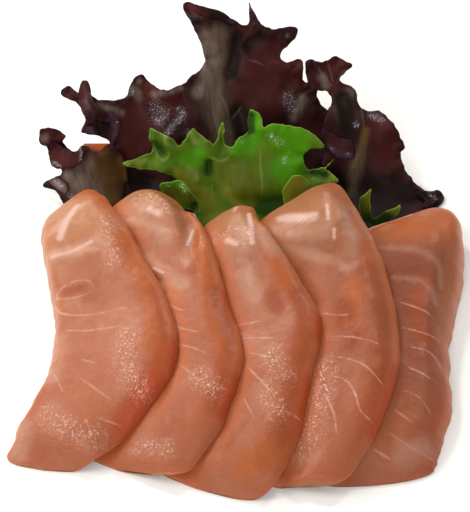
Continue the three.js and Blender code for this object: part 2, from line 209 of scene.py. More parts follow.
# Sizes and heights are millimetres. What is said of a place along or across a slice is a share of its
# length or of half its width, and a pair of them is where something comes in and where it is whole.
cutting = {
    "restGap": 0.02,  # between a slice and what it lies on
    "brim": 1, "climb": 4,  # beside a slice the next one still lies level with it this far, then comes down
    "flat": 0.85,  # past this far across, a slice holds the next one up no lower
    "squeezed": 0.35,  # what is left of a slice's thickness where it lies on another
    "pressing": 2,  # how broadly a face bends up over what pushes it
    "sagInside": 0.3, "sagTop": 0.38, "sagTip": 0.86, "hem": 0.16,  # where slices sag onto what lies below
    "topRound": 0.09, "tipRound": 0.06, "topCorner": 2.8, "tipCorner": 4,  # the outline's corners
    "topFall": 0.12, "tipFall": 0.1, "tipReach": 4, "askewRounds": 5, "ends": (0.03, 0.97),
    "innerShoulder": 0.25, "underInner": 0.2, "underOuter": 0.3, "edgeFeather": 0.62,
    "browStart": 0.12, "browInner": (-0.6, -0.1), "browFade": 0.3, "browShare": 0.42,
    "browSoft": (0.05, 0.35), "browSharp": (0.042, 0.3),  # how blurred the pad's end and its side are
    "stationsAlong": 250, "stationsAcross": 104, "softenings": 24,
    "crowdedAlong": 0.35, "crowdedAcross": 0.55,  # how much closer stations are at the ends and edges
    "ragged": ((0.35, 5, 11), (0.21, 1.7, 31)),  # how the knife's edge strays, as layers of noise
    "edgesApart": 40, "raggedPower": 6,  # between the two edges' noise, and how near the edge it begins
    "uneven": ((0.4, 9, 50), (0.17, 3.5, 60), (0.05, 1.1, 70)),  # swells, dimples and grain of the face
    "smoothEdge": 0.12, "smoothEnd": 0.03, "ridgeHigh": 0.35, "ridgeWide": 1.5, "leastThick": 0.3,
}

# Where the marks of the flesh are, in the same shares. Fat lines and bands have the share of their width
# that is left at their ends, how many widths away they are still told apart, and how quickly they swell.
marking = {
    "line": (0.35, 4, 0.5), "band": (0.4, 6, 0.5), "strong": 0.8, "weak": 0.55,
    "tip": (0.74, 0.93), "side": (0.36, 0.78), "sideAtTip": 0.35, "brinkLight": (0.72, 1),
    "low": (0.4, 0.75), "top": (0.12, 0.42), "lessSliceShade": 0.55, "lessSliceShadeFrom": (0.55, 0.9),
    "creaseShadeWidth": 3,
}

# brush paints in order: wet skin with painted sparkles, pale fat and flesh with some painted sheen, warmer
# flesh, painted shade on the outer sides, painted red-orange shade at the outer edges, painted glints
salmonPaints = ("wet", "paleAndSheen", "warm", "duskShade", "edgeShade", "glint")

# inner, outer, lift, roll and thickness run from the thick end to the tip. brow is where the pad there ends,
# how askew, how far across it goes and its height. tip is how askew the tip is cut: degrees a millimetre and
# degrees. Everything drawn on a slice goes through (share along, share across from -1 to 1). The last six
# entries are strokes of a brush, its size in millimetres first.
slices = {
    1: {
        "centre": (-76, -9), "radius": 48, "from": 44, "to": -50.7, "outerShoulder": 0.6, "brow": None,
        "tip": (0.95, 3.2), "inner": [9, 13.5, 14.5, 13.5, 12, 10.5, 6],
        "outer": [8.5, 6, 8, 13.5, 17, 14, 10], "lift": [13, 17, 15.5, 13.5, 12, 8.5, 3.8],
        "roll": [6, 17, 20, 18, 16, 12, 6], "thickness": [9, 10, 9.5, 9.5, 9, 7, 3.2], "strongLines": 2,
        "sliceShade": 0.0, "bandShare": 0.5, "creaseShading": 0,
        "lines": [
            [(.424, -.96), (.478, -.82), (.502, -.4), (.5, .27)], [(.544, -.82), (.558, -.38), (.558, .13)],
            [(.654, -.47), (.67, -.18)], [(.71, -.8), (.768, -.49)],
            [(.718, -.36), (.756, .06), (.784, .37)], [(.844, .38), (.86, .83)],
            [(.412, -.2), (.388, -.24), (.372, -.48), (.378, -.76),
             (.4, -.9), (.426, -.74), (.432, -.4), (.412, -.2)],
        ],
        "bands": [[(.148, -.78), (.122, -.3), (.108, .35)], [(.222, -.88), (.256, -.41), (.294, .15)]],
        "ridges": [[(.174, .66), (.22, .52), (.258, .38)]],
        "wet": [
            (1.7, (.226, .6), (.298, .46), (.35, .37)), (2.6, (.598, .22), (.68, .3), (.746, .68)),
            (2.2, (.844, -.52), (.878, -.06), (.906, .61)),
        ],
        "paleAndSheen": [
            (1.4, (.2, -1), (.4, -1), (.56, -1)), (2.6, (.58, -.9), (.72, -.8)),
            (1.3, (.145, -.5), (.122, -.06), (.115, .4)), (1.8, (.24, -.8), (.262, -.3), (.27, .2)),
            (3, (.96, -.7), (.9, -.9)),
        ],
        "warm": [(3.6, (.3, .84), (.4, .78), (.5, .74), (.6, .72)), (3, (.02, .3), (.06, .75), (.14, .9))],
        "duskShade": [(3.4, (.46, .98), (.54, .94), (.6, .92)), (1.2, (.402, -.7), (.404, -.4))],
        "edgeShade": [(2.6, (.62, 1), (.68, 1)), (4, (.72, .98), (.78, .96), (.84, .98), (.88, 1))],
        "glint": [(1.2, (.186, -.5), (.13, -.2), (.1, .1)), (.5, (.24, -.8), (.262, -.3), (.262, .1))],
    },
    2: {
        "centre": (-62, -9), "radius": 50, "from": 44, "to": -42.6, "outerShoulder": 0.6,
        "brow": (0.3, 0.1, 0.45, 2), "tip": (0.5, -3), "inner": [12, 13.5, 14, 14, 13, 12, 12],
        "outer": [4.5, 8.5, 8.5, 10.5, 15.5, 16.5, 15.5], "lift": [14, 17, 15.5, 14.5, 12.5, 9, 3.8],
        "roll": [5, 13, 20, 20, 16, 12, 6], "thickness": [9, 11, 10, 9.5, 9, 7.5, 3.2], "strongLines": 3,
        "sliceShade": 0.14, "bandShare": 0.42, "creaseShading": 0.75,
        "lines": [
            [(.516, -.19), (.554, .1)], [(.588, -.18), (.61, .06), (.624, .28)],
            [(.654, -.08), (.666, .18), (.684, .42)], [(.708, 0), (.746, .31)],
        ],
        "bands": [[(.15, -.42), (.216, -.14), (.266, .16)]],
        "ridges": [
            [(.294, -.61), (.346, -.35), (.4, -.07), (.452, .21)], [(.452, .21), (.376, .52), (.28, .87)],
        ],
        "wet": [
            (1, (.36, .72), (.33, .84)), (2.2, (.746, .38), (.774, .68)), (1.6, (.94, .1), (.934, .5)),
            (1.8, (.09, .1), (.13, .36), (.19, .42)),
        ],
        "paleAndSheen": [
            (3.4, (.15, -.3), (.2, .05), (.27, .1)),
            (1.8, (.28, -.59), (.322, -.35), (.38, -.17), (.43, .02), (.466, .2)),
            (1.6, (.4, .38), (.317, .57), (.267, .75)),
        ],
        "warm": [(2.8, (.36, .68), (.42, .69), (.5, .68), (.58, .66), (.66, .7))],
        "duskShade": [
            (2.4, (.5, .8), (.6, .82), (.673, .86)), (1.5, (.38, -.5), (.42, -.25)),
            (2, (.74, .86), (.82, .86)),
        ],
        "edgeShade": [(1.8, (.5, 1), (.56, 1)), (2, (.74, 1), (.82, 1))],
        "glint": [(1, (.17, .06), (.2, .16)), (.4, (.37, -.28), (.4, -.12)), (.5, (.33, .5), (.28, .72))],
    },
    3: {
        "centre": (-46, -9), "radius": 54, "from": 34, "to": -44.8, "outerShoulder": 0.6,
        "brow": (0.28, 0.06, 0.3, 2), "tip": (0.52, -3.2), "inner": [10, 12.5, 14, 14, 13, 12, 11],
        "outer": [5.5, 2.5, 6, 12, 12, 15, 14.8], "lift": [14, 17.5, 16, 14, 12.5, 9, 3.8],
        "roll": [5, 16, 20, 19, 16, 12, 6], "thickness": [9, 11, 10, 9.5, 9, 7.5, 3.2], "strongLines": 4,
        "sliceShade": 0.22, "bandShare": 0.36, "creaseShading": 0.7,
        "lines": [
            [(.514, -.46), (.51, -.08)], [(.566, -.38), (.572, .18)], [(.622, -.18), (.636, .29)],
            [(.672, -.12), (.706, .14), (.738, .37)], [(.76, -.06), (.812, .23)], [(.78, .67), (.786, .98)],
        ],
        "bands": [[(.284, -.21), (.318, -.03), (.378, -.11)]],
        "ridges": [[(.026, .7), (.142, -.06), (.194, -.47)], [(.142, .82), (.192, .48), (.24, .24)]],
        "wet": [
            (1.2, (.196, .37), (.238, .19)), (2.4, (.63, .24), (.678, .51)), (2.2, (.732, .3), (.786, .56)),
            (1.5, (.164, -.42), (.172, -.01)),
        ],
        "paleAndSheen": [
            (3, (.14, .3), (.2, .2), (.26, .05)), (2.6, (.22, .75), (.3, .7)),
            (2.4, (.34, -.2), (.42, -.1)),
        ],
        "warm": [
            (2.6, (.34, .62), (.41, .6)), (2.4, (.52, .84), (.62, .84), (.74, .88)),
            (3, (.87, .8), (.93, .5)),
        ],
        "duskShade": [
            (3.4, (.44, .7), (.533, .8), (.6, .86), (.667, .86), (.743, .82), (.83, .8)),
            (2, (.43, .2), (.48, .26)),
        ],
        "edgeShade": [(2, (.5, 1), (.55, 1)), (2.2, (.68, 1), (.74, .98), (.8, .98))],
        "glint": [
            (.7, (.12, .62), (.2, .44), (.25, .28)), (.6, (.04, .4), (.07, .2)),
            (.8, (.2, -.3), (.23, -.1)),
        ],
    },
    4: {
        "centre": (-34, -11), "radius": 58, "from": 36, "to": -38.9, "outerShoulder": 0.6,
        "brow": (0.26, 0.05, 0.45, 2.5), "tip": (0.55, -3.4), "inner": [13, 13.5, 14, 14, 13, 11.5, 11],
        "outer": [14, 12, 12, 13, 14, 13.5, 12], "lift": [15, 18.5, 16, 14, 12.5, 9, 3.8],
        "roll": [5, 10, 15, 16, 14, 12, 6], "thickness": [9, 12, 10, 9.5, 9, 7.5, 3.2], "strongLines": 5,
        "sliceShade": 0.34, "bandShare": 0.36, "creaseShading": 0.65,
        "lines": [
            [(.496, -.29), (.508, -.02), (.512, .26)], [(.578, -.2), (.58, .08), (.59, .34), (.606, .64)],
            [(.644, -.16), (.648, .1), (.666, .38), (.696, .65), (.722, .85)],
            [(.704, -.05), (.716, .21), (.754, .42), (.8, .62), (.822, .9)],
            [(.766, -.02), (.816, .23), (.866, .42)],
        ],
        "bands": [[(.36, .14), (.362, .3), (.35, .46)]],
        "ridges": [
            [(.112, .8), (.202, .43), (.24, .26)], [(.254, .35), (.296, .41), (.336, .45)],
            [(.188, -.77), (.232, -.33), (.276, .14)],
        ],
        "wet": [(2.5, (.68, -.18), (.76, -.1), (.83, -.03), (.9, .02))],
        "paleAndSheen": [
            (3.4, (.14, -.7), (.2, -.35), (.22, .05)), (1.2, (.115, -.44), (.147, -.24), (.166, 0)),
            (1.6, (.2, -.85), (.26, -.45), (.312, -.06), (.35, .26)),
            (1, (.1, .42), (.157, .3), (.223, .14)), (2.4, (.2, .5), (.27, .5), (.32, .4)),
        ],
        "warm": [(2, (.3, .78), (.38, .7)), (2.6, (.42, .3), (.54, .2))],
        "duskShade": [
            (3, (.38, .66), (.48, .74), (.58, .82), (.7, .86)), (2.4, (.34, -.6), (.44, -.4)),
            (2.4, (.48, .1), (.6, .2)),
        ],
        "edgeShade": [(2, (.66, 1), (.74, 1), (.84, 1))],
        "glint": [
            (1.7, (.1, -.5), (.15, -.24), (.168, -.04)), (.5, (.24, .23), (.262, .18)),
            (.5, (.15, .3), (.2, .2)),
        ],
    },
    5: {
        "centre": (-34, -8), "radius": 78, "from": 22, "to": -34.7, "outerShoulder": 0.28, "brow": None,
        "tip": (0.6, 1.4), "inner": [11, 13, 14, 14, 13, 11.5, 12], "outer": [15, 13.5, 8.5, 6, 8, 8, 8.5],
        "lift": [10, 12.5, 10.5, 9.2, 9, 7.5, 3.8], "roll": [2, 2, 1, 0, 0, 0, 0],
        "thickness": [8, 9, 9, 9, 9, 7.5, 3.2], "strongLines": 4, "sliceShade": 0.7, "bandShare": 0.22,
        "creaseShading": 0.3,
        "lines": [
            [(.37, -.26), (.394, .12), (.424, .56)], [(.464, -.17), (.484, .34), (.486, .74)],
            [(.538, .06), (.546, .37), (.556, .59), (.586, .73)], [(.614, -.04), (.63, .24), (.646, .46)],
            [(.698, -.09), (.714, .22), (.736, .41), (.764, .64)], [(.764, -.21), (.784, .02), (.808, .28)],
            [(.848, -.1), (.892, .47), (.922, .98)], [(.896, -.29), (.928, .15)],
        ],
        "bands": [
            [(.152, -.63), (.176, -.29), (.2, .08), (.224, .3), (.252, .48), (.314, .58)],
            [(.274, -.44), (.296, .13), (.334, .42), (.378, .52)], [(.064, -.52), (.046, -.29)],
        ],
        "paleAndSheen": [
            (1.2, (.03, -.9), (.015, -.5), (.02, 0), (.05, .4)), (1.6, (.12, .95), (.26, 1), (.34, 1)),
            (3, (.9, .3), (.88, .7)),
        ],
        "warm": [(7, (.06, -.3), (.1, .4))],
        "duskShade": [(3.4, (.34, -.7), (.45, -.6), (.6, -.5)), (2.4, (.3, .2), (.4, .1), (.5, .4), (.56, .7))],
        "glint": [(.8, (.03, -.92), (.015, -.6), (.012, -.2), (.02, .2))],
    },
}


def shoulder(across, inner, outer):
    left = np.maximum(-across - (1 - inner), 0) / inner
    right = np.maximum(across - (1 - outer), 0) / outer
    return np.maximum(1 - left * left, 0) ** 0.5 * np.maximum(1 - right * right, 0) ** cutting["edgeFeather"]


def closing(along, topShare, tipShare, topPower=2, tipPower=2):
    # goes from 1 to 0 at both ends of a slice, as a rounded corner does
    top = np.maximum(1 - along / topShare, 0) ** topPower
    tip = np.maximum(1 - (1 - along) / tipShare, 0) ** tipPower
    return np.maximum(1 - top, 0) ** (1 / topPower) * np.maximum(1 - tip, 0) ** (1 / tipPower)


def askew(cut, along, offset):
    # how many degrees the tip's askew cut turns a place on, this far from the middle of the slice's width
    slant, pull = cut["tip"]
    return (slant * offset + pull) * np.clip(along, 0, 1) ** cutting["tipReach"]


def browHeight(cut, along, place, endBlur, sideBlur):
    # the raised pad at the thick end of a slice, with a soft or a sharp edge
    if not cut["brow"]:
        return np.zeros_like(along)
    end, slant, side, height = cut["brow"]
    rise = height * fade(along, 0, cutting["browStart"]) * fade(place, *cutting["browInner"])
    before = 1 - fade(along - slant * place, end - endBlur, end + endBlur)
    return rise * before * (1 - fade(place, side, side + sideBlur))


def slicePoint(cut, along, across, stray=0):
    # where a place of the slice is seen from above, and the heights of its face, middle and underside when
    # the slice lies alone, of its brow, and of what is left of its thickness where another slice presses
    inner = through(cut["inner"], along)
    outer = through(cut["outer"], along)
    half = (inner + outer) / 2
    corners = [cutting[key] for key in ("topRound", "tipRound", "topCorner", "tipCorner")]
    offset = (across * half + stray) * closing(along, *corners)
    reach = cut["radius"] + (outer - inner) / 2 + offset
    angle = np.radians(cut["from"] + (cut["to"] - cut["from"]) * along + askew(cut, along, offset))
    thickness = through(cut["thickness"], along)
    brow = browHeight(cut, along, offset / half, *cutting["browSoft"])
    level = through(cut["lift"], along) + np.tan(np.radians(through(cut["roll"], along))) * offset
    middle = level + brow - thickness / 2
    fullness = closing(along, cutting["topFall"], cutting["tipFall"]) * thickness / 2
    squeezed = cutting["squeezed"] * 2 * fullness
    return {
        "x": cut["centre"][0] + reach * np.cos(angle),
        "y": cut["centre"][1] + reach * np.sin(angle),
        "middle": middle,
        "brow": brow,
        "face": middle + shoulder(across, cutting["innerShoulder"], cut["outerShoulder"]) * fullness,
        "under": middle - shoulder(across, cutting["underInner"], cutting["underOuter"]) * fullness,
        "pressed": squeezed * shoulder(across, cutting["innerShoulder"], cutting["underOuter"]),
        "half": half,
    }


def placeIn(cut, x, y):
    # the share along and across a slice of a place seen from above, and how far outside the slice it is
    dx = x - cut["centre"][0]
    dy = y - cut["centre"][1]
    sweep = cut["to"] - cut["from"]
    turn = np.degrees(np.arctan2(dy, dx)) - cut["from"]
    along = turn / sweep
    for _ in range(cutting["askewRounds"]):
        middle = cut["radius"] + (through(cut["outer"], along) - through(cut["inner"], along)) / 2
        along = (turn - askew(cut, along, np.hypot(dx, dy) - middle)) / sweep
    kept = np.clip(along, *cutting["ends"])
    inner = through(cut["inner"], kept)
    outer = through(cut["outer"], kept)
    half = (inner + outer) / 2
    across = (np.hypot(dx, dy) - cut["radius"] - (outer - inner) / 2) / half
    beside = np.maximum(np.abs(across) - 1, 0) * half
    beyond = np.maximum(np.maximum(-along, along - 1), 0) * math.radians(abs(sweep)) * cut["radius"]
    return kept, across, np.hypot(beside, beyond)


def restHeight(x, y, below):
    # the height that the slices below hold up whatever lies at a place seen from above
    height = np.zeros_like(x)
    for cut in below:
        along, across, away = placeIn(cut, x, y)
        top = slicePoint(cut, along, np.clip(across, -cutting["flat"], cutting["flat"]))["face"]
        slope = np.minimum((cutting["brim"] + cutting["climb"] - away) / cutting["climb"], 1)
        lies = away < cutting["brim"] + cutting["climb"]
        height = np.maximum(height, np.where(lies, cutting["restGap"] + top * slope, 0))
    return height


def pushedUp(face, pushed):
    # the higher of two heights, with the crease between them rounded
    share = np.clip(0.5 + 0.5 * (face - pushed) / cutting["pressing"], 0, 1)
    return pushed * (1 - share) + face * share + cutting["pressing"] * share * (1 - share)


def sagging(along, across):
    # the share of its height above what lies below that a slice has lost at a place by sagging
    aside = fade(across, cutting["sagInside"], 1) * fade(along, 0, cutting["sagTop"])
    return np.maximum(aside, fade(along, cutting["sagTip"], 1))


def softened(heights, times):
    # a grid of heights with its creases melted, its border kept
    for _ in range(times):
        heights = heights.copy()
        heights[1:-1] = (heights[:-2] + 2 * heights[1:-1] + heights[2:]) / 4
        heights[:, 1:-1] = (heights[:, :-2] + 2 * heights[:, 1:-1] + heights[:, 2:]) / 4
    return heights


def onPlan(cut, drawn):
    # a line drawn in shares of the slice, as seen from above in millimetres
    shares = np.array(drawn, float)
    point = slicePoint(cut, shares[:, 0], shares[:, 1])
    return np.stack([point["x"], point["y"]], 1)


def nearDrawn(cut, plan, lines):
    return nearLines(plan, [onPlan(cut, line) for line in lines])


def lengthTo(cut, along):
    # how many millimetres of the slice's middle line lie before a place
    return along * np.radians(cut["from"] - cut["to"]) * cut["radius"]


def sliceShape(number, along, across):
    # where these stations of a slice are from above, its half width there, and the heights of its two sides
    cut = slices[number]
    edge = np.stack([lengthTo(cut, along), cutting["edgesApart"] * np.sign(across)], 1)
    stray = np.abs(across) ** cutting["raggedPower"] * waves(edge, cutting["ragged"], number)
    point = slicePoint(cut, along, across, stray)
    plan = np.stack([point["x"], point["y"]], 1)
    rest = restHeight(point["x"], point["y"], [slices[k] for k in slices if k > number])
    middle = fade(1 - np.abs(across), 0, cutting["smoothEdge"])
    middle = middle * closing(along, cutting["smoothEnd"], cutting["smoothEnd"])
    sag = sagging(along, across) * np.maximum(point["middle"] - rest - cutting["hem"], 0)
    face = pushedUp(point["face"] - sag, rest + point["pressed"])
    grid = (face - point["brow"]).reshape(-1, cutting["stationsAcross"] + 1)
    brow = browHeight(cut, along, across, *cutting["browSharp"])
    brow = cutting["browShare"] * brow * fade(1 - across, 0, cutting["browFade"])
    face = softened(grid, cutting["softenings"]).ravel() + brow
    ridgeAway, ridgeShare = nearDrawn(cut, plan, cut.get("ridges", []))
    ridge = cutting["ridgeHigh"] * nearby(ridgeAway, cutting["ridgeWide"]) * np.sin(np.pi * ridgeShare)
    face = face + middle * (waves(plan, cutting["uneven"], number) + ridge)
    under = np.maximum(point["under"] - sag, rest)
    face = np.maximum(face, under + cutting["leastThick"] * middle)
    return plan, point["half"], face, under


def sliceMarks(number, along, across, plan):
    # the marks on a slice's face, and those on its underside and walls
    cut = slices[number]
    lineAway, lineShare = nearDrawn(cut, plan, cut["lines"])
    strongAway, _ = nearDrawn(cut, plan, cut["lines"][: cut["strongLines"]])
    bandAway, bandShare = nearDrawn(cut, plan, cut["bands"])
    away = placeIn(slices[number - 1], *plan.T)[2] if number > 1 else np.full_like(along, farAway)
    tipFree = 1 - fade(along, *marking["tip"])
    sideShare = marking["sideAtTip"] + (1 - marking["sideAtTip"]) * tipFree
    onFace = {
        "fatLine": tapered(lineAway, lineShare, *marking["line"]),
        "fatBand": tapered(bandAway, bandShare, *marking["band"]),
        "fatStrength": np.where(strongAway <= lineAway + 1e-6, marking["strong"], marking["weak"]),
        "bandShare": np.full_like(along, cut["bandShare"]),
        # painted shade over the whole slice, less towards its tip
        "sliceShade": cut["sliceShade"] * (1 - marking["lessSliceShade"] * fade(along, *marking["lessSliceShadeFrom"])),
        "side": fade(across, *marking["side"]) * sideShare,
        "low": fade(along, *marking["low"]),
        "top": 1 - fade(along, *marking["top"]),
        # painted light along the steep outer edge, less at the tip
        "brinkLight": fade(across, *marking["brinkLight"]) * tipFree,
        # painted warm shade beside the edge of the slice lying above
        "creaseShade": cut["creaseShading"] * nearby(away, marking["creaseShadeWidth"]),
        "upper": np.ones_like(along),
    }
    for key in salmonPaints:
        strokes = [(size, *onPlan(cut, stroke)) for size, *stroke in cut.get(key, [])]
        onFace[key] = patchShare(plan, strokes)
    onUnder = {key: np.zeros_like(along) for key in onFace}
    onUnder["fatLine"] += marking["line"][1]
    onUnder["fatBand"] += marking["band"][1]
    for key in ("side", "low", "top", "sliceShade"):
        onUnder[key] = onFace[key]
    return onFace, onUnder


def makeSlice(number, material):
    rows, columns = cutting["stationsAlong"] + 1, cutting["stationsAcross"] + 1
    even = np.linspace(0, 1, rows)
    side = np.linspace(-1, 1, columns)
    crowded, crowdedAcross = cutting["crowdedAlong"], cutting["crowdedAcross"]
    along, across = np.meshgrid(
        (1 - crowded) * even + crowded * (0.5 - 0.5 * np.cos(np.pi * even)),
        (1 - crowdedAcross) * side + crowdedAcross * np.sin(np.pi / 2 * side), indexing="ij",
    )
    along, across = along.ravel(), across.ravel()
    plan, half, face, under = sliceShape(number, along, across)
    onFace, onUnder = sliceMarks(number, along, across, plan)
    points = np.concatenate([np.column_stack([plan, face]), np.column_stack([plan, under])])
    patternPlaces = np.tile(np.stack([lengthTo(slices[number], along), across * half], 1), (2, 1))
    count = len(along)
    at = np.arange(count).reshape(rows, columns)
    top = np.stack([at[:-1, :-1], at[1:, :-1], at[1:, 1:], at[:-1, 1:]], -1).reshape(-1, 4)
    bottom = np.stack([at[:-1, 1:], at[1:, 1:], at[1:, :-1], at[:-1, :-1]], -1).reshape(-1, 4) + count
    walls = []
    for ring, turned in ((at[:, 0], False), (at[:, -1], True), (at[0, :], True), (at[-1, :], False)):
        quads = np.stack([ring[:-1] + count, ring[1:] + count, ring[1:], ring[:-1]], -1)
        walls.append(quads[:, ::-1] if turned else quads)
    quads = np.concatenate([top, bottom, *walls])
    # places that meet are one point, and faces left with fewer than three are dropped
    _, first, same = np.unique(np.round(points, 3), axis=0, return_index=True, return_inverse=True)
    faces = []
    for quad in same.ravel()[quads].tolist():
        kept = [p for i, p in enumerate(quad) if p != quad[i - 1]]
        if len(set(kept)) > 2:
            faces.append(kept)
    attributes = {key: np.concatenate([onFace[key], onUnder[key]])[first] for key in onFace}
    makePiece(
        f"salmonSlice{number}", points[first], faces, attributes, patternPlaces[first], material,
        [f"slice_{number}"],
    )


# Raw salmon cut with a long knife: wet, dense flesh that lets light a millimetre or two in, pale fat lines
# between the flakes, a smoother and redder rind side, and a skin of juice whose sparkle where it beads is
# painted as light specks with painted shade between them.
salmonLooks = {
    "face": "#A06145", "faceDeep": "#975539", "facePale": "#AA6E52", "top": "#A6724C", "low": "#9C5432",
    "side": "#965028", "sideDeep": "#96441C", "creaseShade": "#B65E2E", "underside": "#A0522C",
    "sliceShade": "#74371F", "paleAndSheen": "#B48C78", "warm": "#A25422", "duskShade": "#8C4018", "edgeShade": "#A03C12",
    "brinkLight": "#C8744A", "glint": "#D0B0A4", "fat": "#C29A88", "sparkleLight": "#E6C8B4", "sparkleShade": "#8C4028",
    "noises": {  # size in millimetres, detail, roughness and distortion
        "clouds": (9.09, 4, 0.6, 0), "mottle": (1.613, 3, 0.6, 0), "sparkles": (0.4762, 3, 0.7, 0.8),
        "wrinkles": (0.6, 2, 0.5, 0),
    },
    "fibreWidth": 0.45, "fibreLong": 2.222, "mottleHigh": 0.3, "wrinkleHigh": 0.4, "lightDepth": 3.5,
}


def salmonFlesh():
    looks = salmonLooks
    material, tree = newMaterial("rawSalmonKnifeCut")
    place = addNode(tree, "ShaderNodeTexCoord").outputs["Object"]
    pattern = addNode(tree, "ShaderNodeUVMap", uv_map="pattern")
    mark = {
        key: addNode(tree, "ShaderNodeAttribute", attribute_name=key).outputs["Fac"]
        for key in (
            "fatLine", "fatStrength", "fatBand", "bandShare", "side", "low", "top", "upper", "sliceShade",
            "brinkLight", "creaseShade", *salmonPaints,
        )
    }
    # clouds and mottling of the flesh, the speckle of the painted sparkles and the wrinkles of its skin
    noise = {}
    for key, (size, detail, roughness, distortion) in looks["noises"].items():
        noise[key] = addNode(
            tree, "ShaderNodeTexNoise",
            {"Vector": place, "Scale": 1 / (size * millimetre), "Detail": detail, "Roughness": roughness,
             "Distortion": distortion},
        )
    clouds, mottle, sparkles = noise["clouds"], noise["mottle"], noise["sparkles"]
    # fibres lie across the slice, as fine short streaks
    cells = [1 / (looks[key] * patternUnit) for key in ("fibreWidth", "fibreLong")] + [1]
    fibreMap = addNode(tree, "ShaderNodeMapping", {"Vector": pattern, "Scale": cells})
    fibres = addNode(
        tree, "ShaderNodeTexNoise", {"Vector": fibreMap, "Scale": 1, "Detail": 3, "Roughness": 0.6},
    )
    # wetness goes from an even skin of juice to painted sparkles, with painted shade specks between them
    spread = {
        key: addNode(tree, "ShaderNodeMapRange", {"Value": value, 1: low, 2: high, 3: first, 4: last})
        for key, value, low, high, first, last in (
            ("sparkles", mark["wet"], 0, 1, 0.05, 0.9),
            ("sparkleShadeShare", mark["wet"], 0, 1, 0.1, 0.5),
            ("wetness", mark["wet"], 0, 0.6, 0.25, 1),
            ("coatRoughness", mark["wet"], 0, 0.6, 0.3, 0.08),
            ("roughness", clouds, 0.3, 0.7, 0.42, 0.56),
        )
    }
    # the drawn fat, the pale dabs with their painted sheen and the painted glints are made uneven by the
    # mottling, the clouds and the fibres
    uneven = {
        key: addNode(tree, "ShaderNodeMath", {0: value, 1: factor, 2: rest}, operation="MULTIPLY_ADD")
        for key, value, factor, rest in (
            ("line", mottle, 0.5, mark["fatLine"]), ("band", mottle, 1.8, mark["fatBand"]),
            ("paleAndSheen", clouds, mark["paleAndSheen"], 0), ("glint", fibres, mark["glint"], 0),
        )
    }
    tone = addNode(
        tree, "ShaderNodeValToRGB", {"Fac": clouds},
        ramp=list(zip(cloudStops, (looks["faceDeep"], looks["face"], looks["facePale"]))),
    )
    side = paintLayers(tree, linear(looks["side"]), [(mark["low"], 0, 1, 1, looks["sideDeep"])])
    tone = paintLayers(tree, tone, [
        (mark["top"], 0, 1, 0.8, looks["top"]),
        (mark["low"], 0, 1, 0.6, looks["low"]),
        (fibres, 0.42, 0.75, 0.36, looks["facePale"]),
        (mottle, 0.45, 0.75, 0.26, looks["faceDeep"]),
        # painted shade over whole slices, heaviest on the rightmost
        (mark["sliceShade"], 0, 1, 1, looks["sliceShade"]),
        (mark["side"], 0, 1, 0.8, side),
        # painted warm shade beside the slice lying above
        (mark["creaseShade"], 0, 1, 1, looks["creaseShade"]),
        # pale fat and flesh, with painted sheen and highlight streaks in places
        (uneven["paleAndSheen"], 0.05, 0.6, 0.5, looks["paleAndSheen"]),
        (mark["warm"], 0, 0.9, 0.8, looks["warm"]),
        # darker dabs of painted shade, mostly along the outer sides
        (mark["duskShade"], 0, 0.9, 0.8, looks["duskShade"]),
        # painted light along the steep outer edge
        (mark["brinkLight"], 0, 1, 0.4, looks["brinkLight"]),
        # painted red-orange shade at the outer edges where slices meet
        (mark["edgeShade"], 0, 1, 0.85, looks["edgeShade"]),
        (uneven["glint"], 0.08, 0.5, 0.7, looks["glint"]),
        (uneven["band"], 2.9, 0.6, mark["bandShare"], looks["fat"]),
        (uneven["line"], 0.62, 0.15, mark["fatStrength"], looks["fat"]),
        # painted sparkle highlights where the juice is wet, with painted shade specks between them
        (sparkles, 0.47, 0.36, spread["sparkleShadeShare"], looks["sparkleShade"]),
        (sparkles, 0.545, 0.66, spread["sparkles"], looks["sparkleLight"]),
    ])
    # the underside and walls get a darker, warmer colour: painted shade under the slices
    colour = paintLayers(tree, linear(looks["underside"]), [(mark["upper"], 0, 1, 1, tone)])
    # the skin of juice is wrinkled finely where it is wet
    wrinkled = addNode(
        tree, "ShaderNodeMapRange", {"Value": noise["wrinkles"], 1: 0, 2: 1, 3: 0, 4: spread["wetness"]},
    )
    wrinkleHigh, mottleHigh = looks["wrinkleHigh"] * millimetre, looks["mottleHigh"] * millimetre
    coatBump = addNode(tree, "ShaderNodeBump", {"Height": wrinkled, "Strength": 1, "Distance": wrinkleHigh})
    bump = addNode(tree, "ShaderNodeBump", {"Height": mottle, "Strength": 0.5, "Distance": mottleHigh})
    shader = addNode(
        tree, "ShaderNodeBsdfPrincipled",
        {"Base Color": colour, "Roughness": spread["roughness"], "IOR": 1.38, "Subsurface Weight": 0.7,
         "Subsurface Radius": (1.0, 0.45, 0.25), "Subsurface Scale": looks["lightDepth"] * millimetre,
         "Specular IOR Level": 0.3, "Coat Weight": spread["wetness"],
         "Coat Roughness": spread["coatRoughness"], "Coat IOR": 1.36, "Coat Normal": coatBump,
         "Normal": bump},
        subsurface_method="RANDOM_WALK",
    )
    addNode(tree, "ShaderNodeOutputMaterial", {"Surface": shader})
    return material


flesh = salmonFlesh()
for number in slices:
    makeSlice(number, flesh)
print("slices made")


# ---- the lettuce ----

